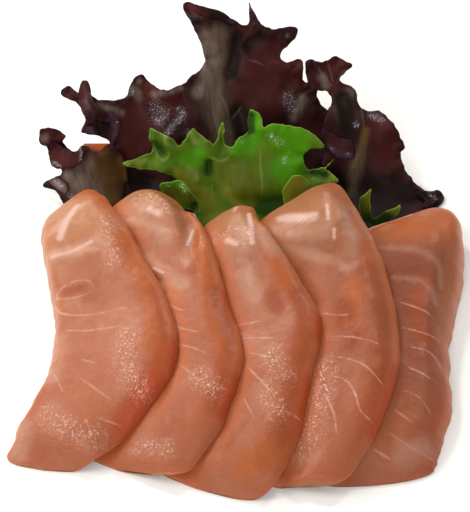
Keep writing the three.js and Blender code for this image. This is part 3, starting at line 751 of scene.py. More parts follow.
# Each leaf lies flat under the slices, bends up at its root and leans back. rim goes round its frill:
# millimetres across from the root, up the leaf, and forward out of its face. Patches are dabs or strokes of
# a brush: first its size, then where it goes, across and up. A curl is drawn on another leaf, and its rim
# says how far it stands off.
leafShapes = {
    "redLeafCentre": {
        "node": "red_leaf_centre", "slot": "red_leaf", "seed": 1, "root": (-6, 33), "raised": 0, "lean": 42,
        "bend": 6, "cup": 2, "ruffle": 1.4,
        "rim": [
            [-13, -4, 0], [-19, 0, 0], [-24.5, 6, 1], [-26.5, 10.5, 0], [-25.5, 14.5, 1], [-28.5, 16.5, 3],
            [-32.5, 17.5, 3.2], [-31.5, 20.5, 1], [-33.5, 24, -2], [-38, 26.5, -4], [-36, 28.5, -3],
            [-33.3, 27, -1], [-32, 30, 2], [-30.6, 30, 2.4], [-29, 26, 2.6], [-24.5, 25.5, 0],
            [-21.5, 26, -3], [-20, 29.5, -3], [-17.5, 31.5, -1], [-14.5, 29, 2], [-11.5, 28, 3],
            [-7, 29.5, 1], [-2, 34, -2], [-2, 38, -2], [-4, 42.5, 0], [-6.5, 49, 3], [-2, 48.5, 4],
            [4.5, 46, 3], [7.5, 44, -1], [9.5, 45, -2], [9.5, 49.5, -3], [11, 46.5, -1], [12.5, 44, 1],
            [15.5, 43, 2], [19.5, 43.5, 0], [21.5, 42.5, -2], [20, 39.5, -3], [17.5, 37, 0], [18, 35, 2],
            [22.5, 35, 1], [23.2, 29.8, -1], [26.2, 29, -2], [27.2, 25, -2], [30, 21.5, -2], [31, 18, -2],
            [31, 10.5, -1], [26.5, 3, 0], [18, -4, 0],
        ],
        "ribs": [[(4.3, 2), (4.2, 6.5), (2.8, 13), (.8, 20.5), (-.2, 28), (.5, 35), (1, 41)]],
        "olive": [
            (3.2, (1, 41), (.5, 35), (.2, 31), (1, 26), (2, 21), (3, 17), (4, 13)),
            (2.2, (3, 42), (-1, 41)), (3, (10, 16), (13, 12)), (1.2, (-20, 28), (-18, 26)),
        ],
        "bright": [
            (6, (-20, 19), (-17, 13)), (4, (-10, 25), (-14, 27)), (5, (12, 33), (17, 36), (20, 31)),
            (5, (9, 25), (15, 27)), (3, (-4, 16), (-3, 10)),
        ],
        "shadeDabs": [
            (1.8, (6.6, 41), (6, 36), (5, 32)), (2, (-28, 18.5), (-26.5, 19)), (1.6, (9, 39), (12, 41)),
            (3, (8.5, 16)), (3, (7, 22), (8, 19)), (3, (-22, 8), (-16, 4)),
        ],
        "gloss": [
            (1.8, (-14, 23.8), (-12.5, 22.5), (-13, 20.5)), (1, (-8, 23), (-7, 21.5), (-8.5, 20)),
            (1.4, (19.4, 26), (20.5, 23.5)), (.5, (4.5, 44.6)), (.9, (-24, 26), (-20, 27.4)),
            (.9, (-11, 17), (-9.6, 19)), (.9, (-5.6, 17)),
        ],
        "violet": [
            (.8, (4.6, 44.8), (5.4, 43.8)), (.8, (-31.6, 18), (-29, 17)), (1, (-26, 14), (-25.4, 11)),
        ],
        "shine": [
            [(-2.3, 40.5), (-1.4, 37), (-1.7, 33.5), (-2.2, 30), (-3.2, 27.5)],
            [(-.3, 34), (-.4, 30), (-1.2, 27), (-.8, 24)], [(2, 27), (3.6, 24), (4.4, 20)],
            [(8, 24), (6.4, 22), (5, 20)], [(9, 35.2), (10.8, 35), (13, 34)], [(-3.3, 29.4), (-4.6, 27.4)],
            [(.6, 24), (1, 20), (2, 16)], [(18.2, 28), (18.4, 23)], [(-29, 25), (-25, 23.5), (-21, 25)],
            [(-28, 23.8), (-24.5, 22.4)],
        ],
        "paintedSheen": [
            (1.8, (-2.8, 40), (-2, 35), (-2.2, 30), (-3.4, 27)), (2, (-.6, 41), (.5, 35)), (1, (-18, 30)),
            (1.2, (-14, 26.8), (-8, 28.2)), (.9, (19, 41.4)), (1.4, (-23, 22), (-28, 24)),
            (1.7, (21, 21), (23, 25.6)),
        ],
    },
    "redLeafLeft": {
        "node": "red_leaf_left", "slot": "red_leaf", "seed": 2, "root": (-32, 29.5), "raised": 0,
        "lean": 40, "bend": 5, "cup": 1, "ruffle": 0.8,
        "rim": [
            [6.5, -1, 0], [5.5, 5.5, 0], [4.5, 13, 0], [1.2, 17.3, 2], [-2.2, 15.2, 3], [-5.6, 16.8, 1.5],
            [-7.4, 15.3, 1], [-11, 17, -1], [-10, 19, -2], [-14.5, 21, 0], [-16.5, 20.5, 2], [-16.5, 18, 2],
            [-14.5, 15, 0], [-14, 11, -1], [-11.5, 11, 1], [-11.5, 9.5, 2], [-14.5, 8, 1], [-16, 6, 0],
            [-13, 5, 0], [-10.5, 1.5, 0], [-6.5, -1, 0],
        ],
        "ribs": [[(3, 0), (3.4, 5), (3.6, 10), (2.4, 14)]],
        "olive": [(4, (-3, 8), (-3, 4)), (3, (-7, 9), (-6, 4)), (2.4, (-6.5, 11), (-4.5, 11.6))],
        "amber": [(3.4, (1, 5), (1, 12)), (2, (3.5, 12), (4, 6)), (1.6, (-.5, 15))],
        "bright": [(3, (-15, 18), (-12, 19))],
        "shadeDabs": [(1.4, (4.6, 2), (5, 6)), (1.2, (-13.5, 15.6), (-11, 16.4))],
        "gloss": [(.6, (-9.6, 5), (-8.6, 3))],
        "shine": [
            [(-9.5, 11), (-8, 8), (-7, 4)], [(-8, 10.6), (-6.4, 7.6), (-5.6, 5)],
            [(-4, 9), (-3, 6), (-2.6, 3)],
        ],
        "paintedSheen": [(2, (-9.6, 9), (-10, 6)), (4, (-7, 6.4), (-3.6, 2.4)), (1.6, (-15.4, 18.4))],
    },
    "redLeafRight": {
        "node": "red_leaf_right", "slot": "red_leaf", "seed": 3, "root": (31.5, 31.5), "raised": 0,
        "lean": 42, "bend": 6, "cup": 1.5, "ruffle": 1.1,
        "rim": [
            [-9.5, -2.5, 0], [-10.5, 4, 0], [-9.5, 11.5, 2], [-9.5, 19, 3], [-8.5, 23.5, 1], [-7.5, 26, 0],
            [-8.5, 28.5, 0], [-12, 29, 1], [-13.5, 30.5, 1], [-14, 36, 2], [-10, 36, -1], [-6.5, 37, -2],
            [-2.5, 35, -1], [-5.5, 31.5, 1], [-2, 29.5, 2], [0, 24.5, 0], [4.5, 23.5, -2], [6.5, 22.5, 0],
            [8.5, 20, 2], [11, 15, 1], [10, 13, -1], [11.5, 8.5, 0], [13, 7, 2], [14, 5.5, 2], [17, 3.5, 0],
            [19.5, 4, 0], [21, 2, 0], [18.5, -1.5, 0], [13.5, -3, 0], [9, -7, 0], [4, -9.5, 0], [0, -9, 0],
        ],
        "ribs": [[(-2.5, 2), (-2, 8), (-.8, 14), (.8, 19)]],
        "olive": [(3, (-5, 25), (-3, 23)), (2, (-.4, 13), (-1.6, 8), (-3, 4))],
        "violet": [(.8, (11.5, 8), (13, 7)), (.7, (14, 5))],
        "bright": [(2.2, (-10, 33), (-5, 34)), (3.4, (5, 19), (7, 15), (5, 11)), (2, (-7, 26), (-7.4, 30))],
        "shadeDabs": [
            (2.8, (-4.6, 26.4), (-3.4, 22), (-3, 19)), (5, (4, 3), (9, 2), (4, -4)), (3, (12, 3)),
            (2.4, (-7, 8), (-5, 4)),
        ],
        "gloss": [
            (.9, (2.2, 22.6), (3.6, 22)), (.9, (5.2, 21.4)), (.8, (-1.1, 20)), (1.2, (-11, 26), (-12, 23)),
        ],
        "shine": [
            [(-7.4, 30), (-10, 33), (-12, 35.4)], [(-7, 30.4), (-8, 34), (-8.6, 36)],
            [(-6.4, 30.4), (-5, 33), (-3.6, 34.6)], [(-1.2, 28.4), (0, 25), (.5, 22), (.9, 18.6)],
            [(3, 21), (4.6, 22.8)], [(4.4, 20.6), (5.8, 22.2)],
        ],
        "paintedSheen": [
            (1.4, (-9, 30), (-10, 32)), (1.6, (-4, 26.5), (-3, 28)), (.9, (-1, 12.6), (-1.8, 10)),
            (.8, (14.6, 5), (16, 4)),
        ],
        "amber": [(1.2, (1.2, 18.6), (.4, 15)), (1.5, (-.6, 13), (-1.6, 10))],
    },
    "greenLeaf": {
        "node": "green_leaf", "slot": "green_leaf", "seed": 4, "root": (2.5, 26.5), "raised": 1.3,
        "lean": 32, "bend": 5, "cup": 1.5, "ruffle": 0.7,
        "rim": [
            [-11, -5, 0], [-13, 3, 0], [-14.5, 7.5, 1], [-17.5, 10, 1], [-21, 11.5, 2], [-26.5, 12.5, 3],
            [-30, 13.5, 3], [-29.5, 14.5, 3], [-24.5, 15.5, 1], [-23, 16.5, -1], [-23.5, 22, -2],
            [-21.5, 21.5, 0], [-19, 21, 2], [-16.5, 18.5, 2], [-15, 19.5, 0], [-13, 22, -2],
            [-11.5, 20.5, -1], [-9, 19, 1], [-7.5, 18.5, 1], [-5.5, 23.5, -1], [-5, 18.5, 0], [-3, 18, 1],
            [-1.5, 20, 1], [0.5, 21, 0], [1, 26.5, -1], [2.5, 26.5, -2], [4, 25, -1], [4.5, 23, 1],
            [7, 24, 2], [10, 24, 2], [15, 22.5, 3], [19, 19, 4], [15.5, 17.5, 2], [14.5, 15, 0],
            [15.5, 11.5, -1], [19.5, 12, -1], [22, 14.5, 0], [20, 11.5, 0], [23, 9.5, 2], [19, 8.5, 2],
            [13.5, 5, 0], [10, 0, 0],
        ],
        "bright": [
            (4, (8, 21), (12, 20), (12.5, 16), (10, 12.5)), (1.6, (2.6, 25.5), (3, 20)),
            (2.4, (-2, 17.5), (1, 18)), (2.6, (-14, 14.5), (-11, 15)),
        ],
        "olive": [(4, (-4, 11), (0, 8), (1, 4))],
        "amber": [
            (1.6, (-16.5, 11.6), (-14, 9), (-12, 6)), (2.4, (-11, 6), (-9, 3), (-8, 0)), (1.2, (-26, 13.4)),
            (1.2, (-4.5, 6.5), (-2, 3)),
        ],
        "shadeDabs": [
            (1.3, (-9, 13.4), (-9, 11)), (1.5, (-22.4, 18), (-20.8, 16.4)), (.7, (-16.4, 20.6), (-16, 19)),
            (1, (17, 10.6), (20, 10)), (3, (5, 2), (9, 3)), (1.3, (1.4, 25), (1.4, 21.6)),
        ],
        "gloss": [
            (1, (6.4, 20.6), (8.6, 19)), (.5, (-.5, 19)), (.5, (-17, 22)), (.5, (10, 15), (9.6, 13.6)),
        ],
        "shine": [
            [(-22.6, 20.6), (-22.4, 16.6), (-21, 14.4), (-19, 14.9), (-18.1, 18.6)],
            [(3.6, 18), (3.8, 13), (4.2, 8), (4, 5)],
            [(-9, 15.9), (-7.5, 14.4), (-6, 14), (-4, 15), (-3.3, 17)], [(-5.3, 22.6), (-5.4, 18.6)],
            [(-8.4, 8), (-8, 4)], [(5.4, 21.4), (7.4, 20.8)], [(8.6, 20), (10, 18.6)],
            [(10.6, 17.4), (10.9, 15.6)],
        ],
        "paintedSheen": [
            (1, (-19.3, 21.5), (-19, 19)), (1, (-13.3, 20.6), (-12.4, 18.6)), (.7, (-7.5, 21)),
            (.8, (-29, 14), (-25, 14)), (.5, (-9.8, 13.6), (-9, 14.9), (-7.6, 14.6)),
            (1.4, (-13.6, 12.4), (-12, 10)),
        ],
    },
    "greenLobeFront": {
        "node": "green_lobe_front", "slot": "green_leaf", "seed": 5, "root": (15, 22.5), "raised": 2.6,
        "lean": 20, "bend": 3, "cup": 0.5, "ruffle": 0.3,
        "rim": [
            [-2, 2.5, 0], [-3.5, 7.5, 0], [-2, 12, 0.5], [0, 13.5, 0], [2, 12, -0.5], [3, 10, 0],
            [1.5, 7, 0], [1, 2.5, 0],
        ],
        "amber": [(5, (-.5, 11), (-.5, 5))],
    },
    "greenTipLeft": {
        "node": "green_tip_left", "slot": "green_leaf", "seed": 6, "root": (-13, 23), "raised": 2.6,
        "lean": 25, "bend": 3, "cup": 0.5, "ruffle": 0.5,
        "rim": [
            [-4, 5, 0], [-5.5, 10, 0.5], [-4, 11.5, 1], [-0.5, 11, 0], [1.5, 9, 0.5], [3.5, 6, 0],
            [4.5, 2.5, 0],
        ],
        "olive": [(2.4, (-3, 8), (2, 6))],
        "bright": [(2, (-3, 10.4), (0, 10))],
        "shadeDabs": [(1.2, (3, 4))],
        "gloss": [(.6, (-.4, 9.8), (1, 8.4)), (.4, (-3.4, 10.2))],
    },
    "greenSprigRight": {
        "node": "green_sprig_right", "slot": "green_leaf", "seed": 7, "root": (34.5, 19.5), "raised": 1.3,
        "lean": 20, "bend": 3, "cup": 0.4, "ruffle": 0.3,
        "rim": [
            [-3, 3.5, 0], [-4.5, 9, 0], [-1.5, 13, -0.5], [-1.5, 9, 0.5], [-0.5, 5, 1], [2.5, 7, 0.5],
            [5.5, 9.5, 0], [5.5, 6.5, 0], [2.5, 2.5, 0],
        ],
        "olive": [(5, (-2.5, 10), (-2, 5), (4, 7))],
        "shadeDabs": [(2.4, (-1.4, 5), (3, 4.4))],
    },
    "hornFlap": {
        "on": "redLeafCentre", "slot": "red_leaf", "seed": 8, "ruffle": 0.1,
        "rim": [
            [-6.5, 49, .3], [-5.6, 46.2, 1.2], [-3.6, 46, 1.6], [-1.6, 45.4, 1.8], [1, 45.2, 1.8],
            [3.4, 44.4, 1.6], [5.2, 44, 1], [4.6, 46, .5], [2, 47.5, .4], [-1, 48.3, .4], [-3.5, 48.9, .3],
        ],
        "bright": [(1.6, (-5, 47.4), (-2, 47))],
        "shadeDabs": [(1.4, (1, 46.2), (4, 45.2))],
        "gloss": [(.35, (4.8, 44.9))],
    },
    "uprightLobe": {
        "on": "redLeafCentre", "slot": "red_leaf", "seed": 9, "ruffle": 0.15,
        "rim": [
            [-33.2, 24, .7], [-33.3, 27, .6], [-32.2, 30, .6], [-30.9, 30, .7], [-30, 27.6, 1.1],
            [-28.9, 25, 1.7], [-27.4, 22.9, 2], [-25.6, 21.6, 1.8], [-27, 20.6, 1.6], [-29, 20.3, 1.8],
            [-30.8, 20.6, 1.4], [-32.2, 22, 1],
        ],
        "bright": [(1.8, (-31.6, 29), (-31.6, 24))],
        "gloss": [(.3, (-31.2, 19.9))],
        "shine": [[(-30, 27.2), (-28.8, 24.8), (-27.3, 22.8)]],
    },
    "lilacCurl": {
        "on": "redLeafCentre", "slot": "red_leaf", "seed": 10, "ruffle": 0.1,
        "rim": [
            [-28.4, 19.8, .8], [-26.6, 21.8, 1.5], [-24.8, 22.3, 2], [-23.3, 21.4, 2.2], [-22.8, 19, 1.8],
            [-23.3, 16, 1.2], [-24.6, 13.8, .6], [-25.2, 14.4, .6], [-24.8, 17, .9], [-25, 19.2, 1.1],
            [-26, 20, 1],
        ],
        "violet": [(2, (-26, 21), (-24, 21), (-23.6, 18), (-24.4, 15))],
        "shadeDabs": [(.8, (-27.4, 20.2))],
        "gloss": [(.3, (-23.4, 20))],
    },
    "foldedLobe": {
        "on": "redLeafLeft", "slot": "red_leaf", "seed": 11, "ruffle": 0.1,
        "rim": [
            [-14.6, 14.6, .6], [-13.8, 16.8, .7], [-12.4, 16.9, .9], [-10.6, 15.8, 1.2], [-8.8, 15.1, 1.4],
            [-7.2, 15, 1.5], [-6.2, 16.4, 1.6], [-5.7, 15.4, 1.8], [-5.7, 13.6, 1.8], [-6.4, 12.2, 1.7],
            [-8.4, 11.3, 1.9], [-11, 11, 1.7], [-13, 11.1, 1.2], [-14.3, 12.8, .8],
        ],
        "bright": [(3, (-12.5, 14), (-8, 13))],
        "gloss": [(.3, (-13.2, 12.4), (-11, 11.6)), (.4, (-6.1, 16.2), (-5.9, 14.8), (-6.1, 13))],
    },
    "greyCurl": {
        "on": "redLeafLeft", "slot": "red_leaf", "seed": 12, "ruffle": 0.1,
        "rim": [
            [-14.6, 7.9, .6], [-13, 8.6, .9], [-11, 8.2, 1.1], [-9.6, 6.4, 1], [-9.9, 4.6, .7],
            [-11.8, 5.2, .7], [-13.8, 6.6, .6],
        ],
        "paintedSheen": [(3, (-13.6, 7.4), (-10.6, 6))],
        "gloss": [(.7, (-12.8, 7.6), (-11.4, 6.8))],
        "shine": [[(-13, 7.4), (-12, 7.2), (-11, 6.4)]],
    },
    "violetCurl": {
        "on": "redLeafRight", "slot": "red_leaf", "seed": 13, "ruffle": 0.2,
        "rim": [
            [-9.6, 19.4, .6], [-8, 18.4, .9], [-5, 17, 1.2], [-2.6, 16.4, 1.2], [-1.6, 14.6, 1.6],
            [-1.9, 12.2, 2.2], [-4, 11.8, 2.4], [-6, 12.4, 2.4], [-8, 14, 2], [-10, 16.8, 1.2],
        ],
        "bright": [(1.4, (-8, 17), (-5, 16))],
        "violet": [(1, (-8, 14.8), (-5, 13), (-2.8, 12.8))],
        "gloss": [(.5, (-7.4, 14.4)), (.5, (-3.4, 13))],
    },
    "rolledEdge": {
        "on": "redLeafRight", "slot": "red_leaf", "seed": 14, "ruffle": 0.1,
        "rim": [
            [13.8, 3, .6], [15.4, 3.6, 1.2], [17.4, 3.4, 1.6], [19.4, 3.8, 1.2], [20.4, 2.4, .9],
            [18.4, -.6, .9], [16.2, -2, .8], [15.2, -1.4, .8], [16, .4, 1.1], [15, 1.6, .8],
        ],
        "shadeDabs": [(3, (16, 1.5))],
        "gloss": [(.5, (17.2, 2.4), (18.6, 1.2))],
        "shine": [[(16.4, 2.8), (18.8, 3.3)], [(17.4, 2), (18.6, .8)]],
    },
}

# in order: brighter blade, olive ribs, amber, painted sheen, violet edges, painted shade in hollows, and wet
# glints that are partly painted
leafPaints = ("bright", "olive", "amber", "paintedSheen", "violet", "shadeDabs", "gloss")

# Sizes, heights and depths are millimetres. A layer of noise has its height, its size and a seed of its own.
leafMaking = {
    "spacing": 0.5, "rowShare": 0.87, "softness": 2, "thick": 0.5, "thinRim": 0.16, "thickFrom": 1.6,
    "leafRim": (0.34, 0.28), "curlRim": (0.3, 0.12),  # how far apart a rim's points are, how far they stray
    "stepsBetween": 40, "stepsToClose": 60, "wander": ((1, 2.2, 100), (0.6, 0.9, 110)),
    "jitter": 0.16, "jitterSize": 0.31, "jitterSeeds": (120, 121), "rimGap": 0.3,  # of the points inside
    "halfSheet": 0.45,  # the middle of a flat leaf lies this far above the height that it is raised to
    "lowest": 0.02,  # no point of a leaf is lower
    "stillFlat": (1, 6),  # how far up a leaf begins to fold and frill, and does so fully
    # frills along the rim: wavelength, how far in they reach, share of the leaf's ruffle, a seed of their own
    "frills": ((6.5, 3.4, 1, 130), (2.3, 1.4, 0.45, 140)),
    "curlFrill": (4.6, 1.4, 1, 0),
    "seedRow": 7.0,  # between the rows of noise that the rims of two leaves take their frills from
    "folds": ((1.15, 8, 150), (0.3, 3.2, 160), (0.05, 1.1, 170)),  # the blade's puckers
    "foldAtRib": 0.35, "foldFree": (0.5, 4),  # what is left of them at a rib, and where it grows
    "hollowDepth": 1.2, "ribDepth": 0.5, "ribGroove": 1.1, "ribThick": 0.6, "ribWide": 1.3, "ribInside": 3,
    "rimMost": 20,  # the distance to the rim is told up to here
    "shine": (0.3, 4, 1),  # as for the fat lines of the flesh
}


def pulledForward(rim, across, up):
    # how far forward the points of a rim pull a place of the leaf
    weights = 0
    total = 0
    for rimAcross, rimUp, forward in rim:
        weight = 1 / (leafMaking["softness"] + (across - rimAcross) ** 2 + (up - rimUp) ** 2) ** 2
        total = total + weight * forward
        weights = weights + weight
    return total / weights


def leafSheet(leaf, across, up, lift):
    # where the middle of the leaf's thickness is, this far across and up, with an extra lift out of its face
    height = max(point[1] for point in leaf["rim"])
    cupped = leaf["cup"] * np.sin(np.pi * np.clip(up / height, 0, 1))
    forward = pulledForward(leaf["rim"], across, up) - cupped + lift
    steepest = math.radians(90 - leaf["lean"])
    slope = np.clip(up / leaf["bend"], 0, steepest)
    straight = np.maximum(up - leaf["bend"] * steepest, 0) + np.minimum(up, 0)
    back = leaf["bend"] * np.sin(slope) + straight * np.cos(slope)
    rise = leaf["bend"] * (1 - np.cos(slope)) + straight * np.sin(slope)
    out = np.maximum(forward, -rise / np.cos(slope))
    return np.stack([
        leaf["root"][0] + across,
        leaf["root"][1] + back - out * np.sin(slope),
        leaf["raised"] + leafMaking["halfSheet"] + rise + out * np.cos(slope),
    ], 1)


def leafRim(leaf):
    # the outline as evenly spaced points that wander a little, and how far along it each one is
    spacing, strays = leafMaking["curlRim" if "on" in leaf else "leafRim"]
    steps = leafMaking["stepsBetween"] * len(leaf["rim"])
    drawn = through([point[:2] for point in leaf["rim"]], np.linspace(0, 1, steps))
    drawn = np.concatenate([drawn, np.linspace(drawn[-1], drawn[0], leafMaking["stepsToClose"])[1:]])
    travelled = np.concatenate([[0], np.cumsum(np.linalg.norm(np.diff(drawn, axis=0), axis=1))])
    stations = np.arange(0, travelled[-1] - spacing / 2, spacing)
    rim = np.stack([np.interp(stations, travelled, drawn[:, k]) for k in (0, 1)], 1)
    run = np.roll(rim, -1, 0) - np.roll(rim, 1, 0)
    outward = np.stack([run[:, 1], -run[:, 0]], 1) / np.linalg.norm(run, axis=1)[:, None]
    return rim + strays * waves(rim, leafMaking["wander"], leaf["seed"])[:, None] * outward, stations


def fromRim(places, rim, stations):
    # how far the nearest point of a rim is, and how far along the rim that point is
    away = np.full(len(places), farAway)
    along = np.zeros(len(places))
    for point, station in zip(rim, stations):
        gap = np.hypot(*(places - point).T)
        along[gap < away] = station
        away = np.minimum(away, gap)
    return away, along


def frilled(leaf, away, along, frills):
    # waves that run along the rim and die away inwards
    onRim = np.stack([along, np.full(len(along), leafMaking["seedRow"] * leaf["seed"])], 1)
    return leaf["ruffle"] * sum(
        share * nearby(away, reach) * wobble(onRim, wavelength / 2, own + leaf["seed"])
        for wavelength, reach, share, own in frills
    )


def bladeLift(leaf, places, ribAway):
    # the rim is frilled; the blade folds between its ribs and sinks into hollows
    frill = frilled(leaf, *fromRim(places, *leafRim(leaf)), leafMaking["frills"])
    free = leafMaking["foldAtRib"] + (1 - leafMaking["foldAtRib"]) * fade(ribAway, *leafMaking["foldFree"])
    folds = waves(places, leafMaking["folds"], leaf["seed"]) * free
    groove = leafMaking["ribDepth"] * nearby(ribAway, leafMaking["ribGroove"])
    # where shade is painted the blade sinks too
    shadedHollow = leafMaking["hollowDepth"] * patchShare(places, leaf.get("shadeDabs", []))
    return fade(places[:, 1], *leafMaking["stillFlat"]) * (frill + folds - groove - shadedHollow)


def filledOutline(rim):
    # points inside an outline, a little uneven so that no rows show, and the triangles that fill it
    spacing = leafMaking["spacing"]
    low, high = rim.min(0), rim.max(0)
    rowsUp = np.arange(low[1], high[1], spacing * leafMaking["rowShare"])
    columns, rows = np.meshgrid(np.arange(low[0], high[0], spacing), rowsUp)
    columns = columns + (np.arange(columns.shape[0]) % 2)[:, None] * spacing / 2
    inner = np.stack([columns.ravel(), rows.ravel()], 1)
    stray = np.stack([wobble(inner, leafMaking["jitterSize"], seed) for seed in leafMaking["jitterSeeds"]], 1)
    inner = inner + leafMaking["jitter"] * spacing * stray
    inside = np.zeros(len(inner), bool)
    for (ax, ay), (bx, by) in zip(rim, np.roll(rim, -1, 0)):
        crosses = (ay > inner[:, 1]) != (by > inner[:, 1])
        inside ^= crosses & (inner[:, 0] < (bx - ax) * (inner[:, 1] - ay) / (by - ay + 1e-12) + ax)
    inner = inner[inside]
    away, _ = fromRim(inner, rim, np.zeros(len(rim)))
    flat = np.concatenate([rim, inner[away > leafMaking["rimGap"]]])
    filled = delaunay_2d_cdt([tuple(p) for p in flat], [], [list(range(len(rim)))], 1, 1e-5)
    places = np.array([(p[0], p[1]) for p in filled[0]])
    triangles = np.array(filled[2])
    sides = places[triangles[:, 1:]] - places[triangles[:, :1]]
    turned = sides[:, 0, 0] * sides[:, 1, 1] < sides[:, 0, 1] * sides[:, 1, 0]
    triangles[turned] = triangles[turned][:, ::-1]
    return places, triangles


def sheetNormals(middle, triangles):
    corner = middle[triangles]
    faceNormals = np.cross(corner[:, 1] - corner[:, 0], corner[:, 2] - corner[:, 0])
    normals = np.zeros_like(middle)
    for k in range(3):
        np.add.at(normals, triangles[:, k], faceNormals)
    return normals / (np.linalg.norm(normals, axis=1)[:, None] + 1e-12)


def makeLeaf(name, material):
    leaf = leafShapes[name]
    base = leafShapes[leaf["on"]] if "on" in leaf else leaf
    rim, stations = leafRim(leaf)
    places, triangles = filledOutline(rim)
    rimAway, rimRun = fromRim(places, rim, stations)
    ribAway, _ = nearLines(places, [np.array(line, float) for line in base.get("ribs", [])])
    shineAway, shineAlong = nearLines(places, [np.array(line, float) for line in leaf.get("shine", [])])
    lift = bladeLift(base, places, ribAway)
    if base is not leaf:
        lift = lift + pulledForward(leaf["rim"], *places.T)
        lift = lift + frilled(leaf, rimAway, rimRun, [leafMaking["curlFrill"]])
    middle = leafSheet(base, *places.T, lift)
    thick = leafMaking["thinRim"]
    thick = thick + (leafMaking["thick"] - thick) * fade(rimAway, 0, leafMaking["thickFrom"])
    rib = leafMaking["ribThick"] * nearby(ribAway, leafMaking["ribWide"])
    thick = thick + rib * fade(rimAway, 0, leafMaking["ribInside"])
    half = sheetNormals(middle, triangles) * thick[:, None] / 2
    points = np.concatenate([middle + half, middle - half])
    points[:, 2] = np.maximum(points[:, 2], leafMaking["lowest"])
    count = len(places)
    edges = {}
    for a, b, c in triangles.tolist():
        edges[a, b] = edges[b, c] = edges[c, a] = True
    faces = triangles.tolist() + (triangles[:, ::-1] + count).tolist()
    faces += [[b, a, a + count, b + count] for a, b in edges if (b, a) not in edges]
    attributes = {key: patchShare(places, leaf.get(key, [])) for key in leafPaints}
    attributes["rimAway"] = np.minimum(rimAway, leafMaking["rimMost"])
    attributes["shineAway"] = tapered(shineAway, shineAlong, *leafMaking["shine"])
    attributes = {key: np.tile(values, 2) for key, values in attributes.items()}
    nodes = [leaf["node"]] if "node" in leaf else []
    makePiece(name, points, faces, attributes, np.tile(places, (2, 1)), material, nodes)


# Lollo lettuce, fresh and wet: a thin crisp blade that lets light through, with soft sheens, a few wet glints
# that are almost white, streaks along its ribs and a thin rim of its own colour.
redLooks = {
    "blade": "#2B1010", "bladeDark": "#1D090A", "bladeWarm": "#371513", "bright": "#3C1614",
    "amber": "#5A431E", "olive": "#584A3C", "oliveDark": "#4A3C30", "paintedSheen": "#74645C", "violet": "#38212F",
    "rim": "#2C1424", "shadedHollow": "#160B09", "glint": "#BDB2C4", "shine": "#8A7C80", "rough": (0.4, 0.55),
    "through": 0.1, "throughTint": (0.5, 0.12, 0.1), "sheen": 0.03, "rimWidth": 0.3, "rimShare": 0.6,
    "shineShare": 0.26, "glintShare": 0.6,
}
greenLooks = {
    "blade": "#46640E", "bladeDark": "#3A560C", "bladeWarm": "#567212", "bright": "#46880A",
    "amber": "#777520", "olive": "#5C6616", "oliveDark": "#4E5812", "paintedSheen": "#76883E", "violet": "#2E4A10",
    "rim": "#86A048", "shadedHollow": "#1C380A", "glint": "#D4E8C4", "shine": "#8AA23C", "rough": (0.34, 0.46),
    "through": 0.2, "throughTint": (0.35, 0.8, 0.1), "sheen": 0.04, "rimWidth": 0.2, "rimShare": 0.4,
    "shineShare": 0.45, "glintShare": 0.85,
}
# millimetres that both lettuces share; the streaks run up the leaf
bladeGrain = {
    "clouds": 6.667, "crinkles": 0.4762, "streakApart": 1.4286, "streakLong": 7.692, "grainHigh": 0.2,
    "lightDepth": 1.2,
}


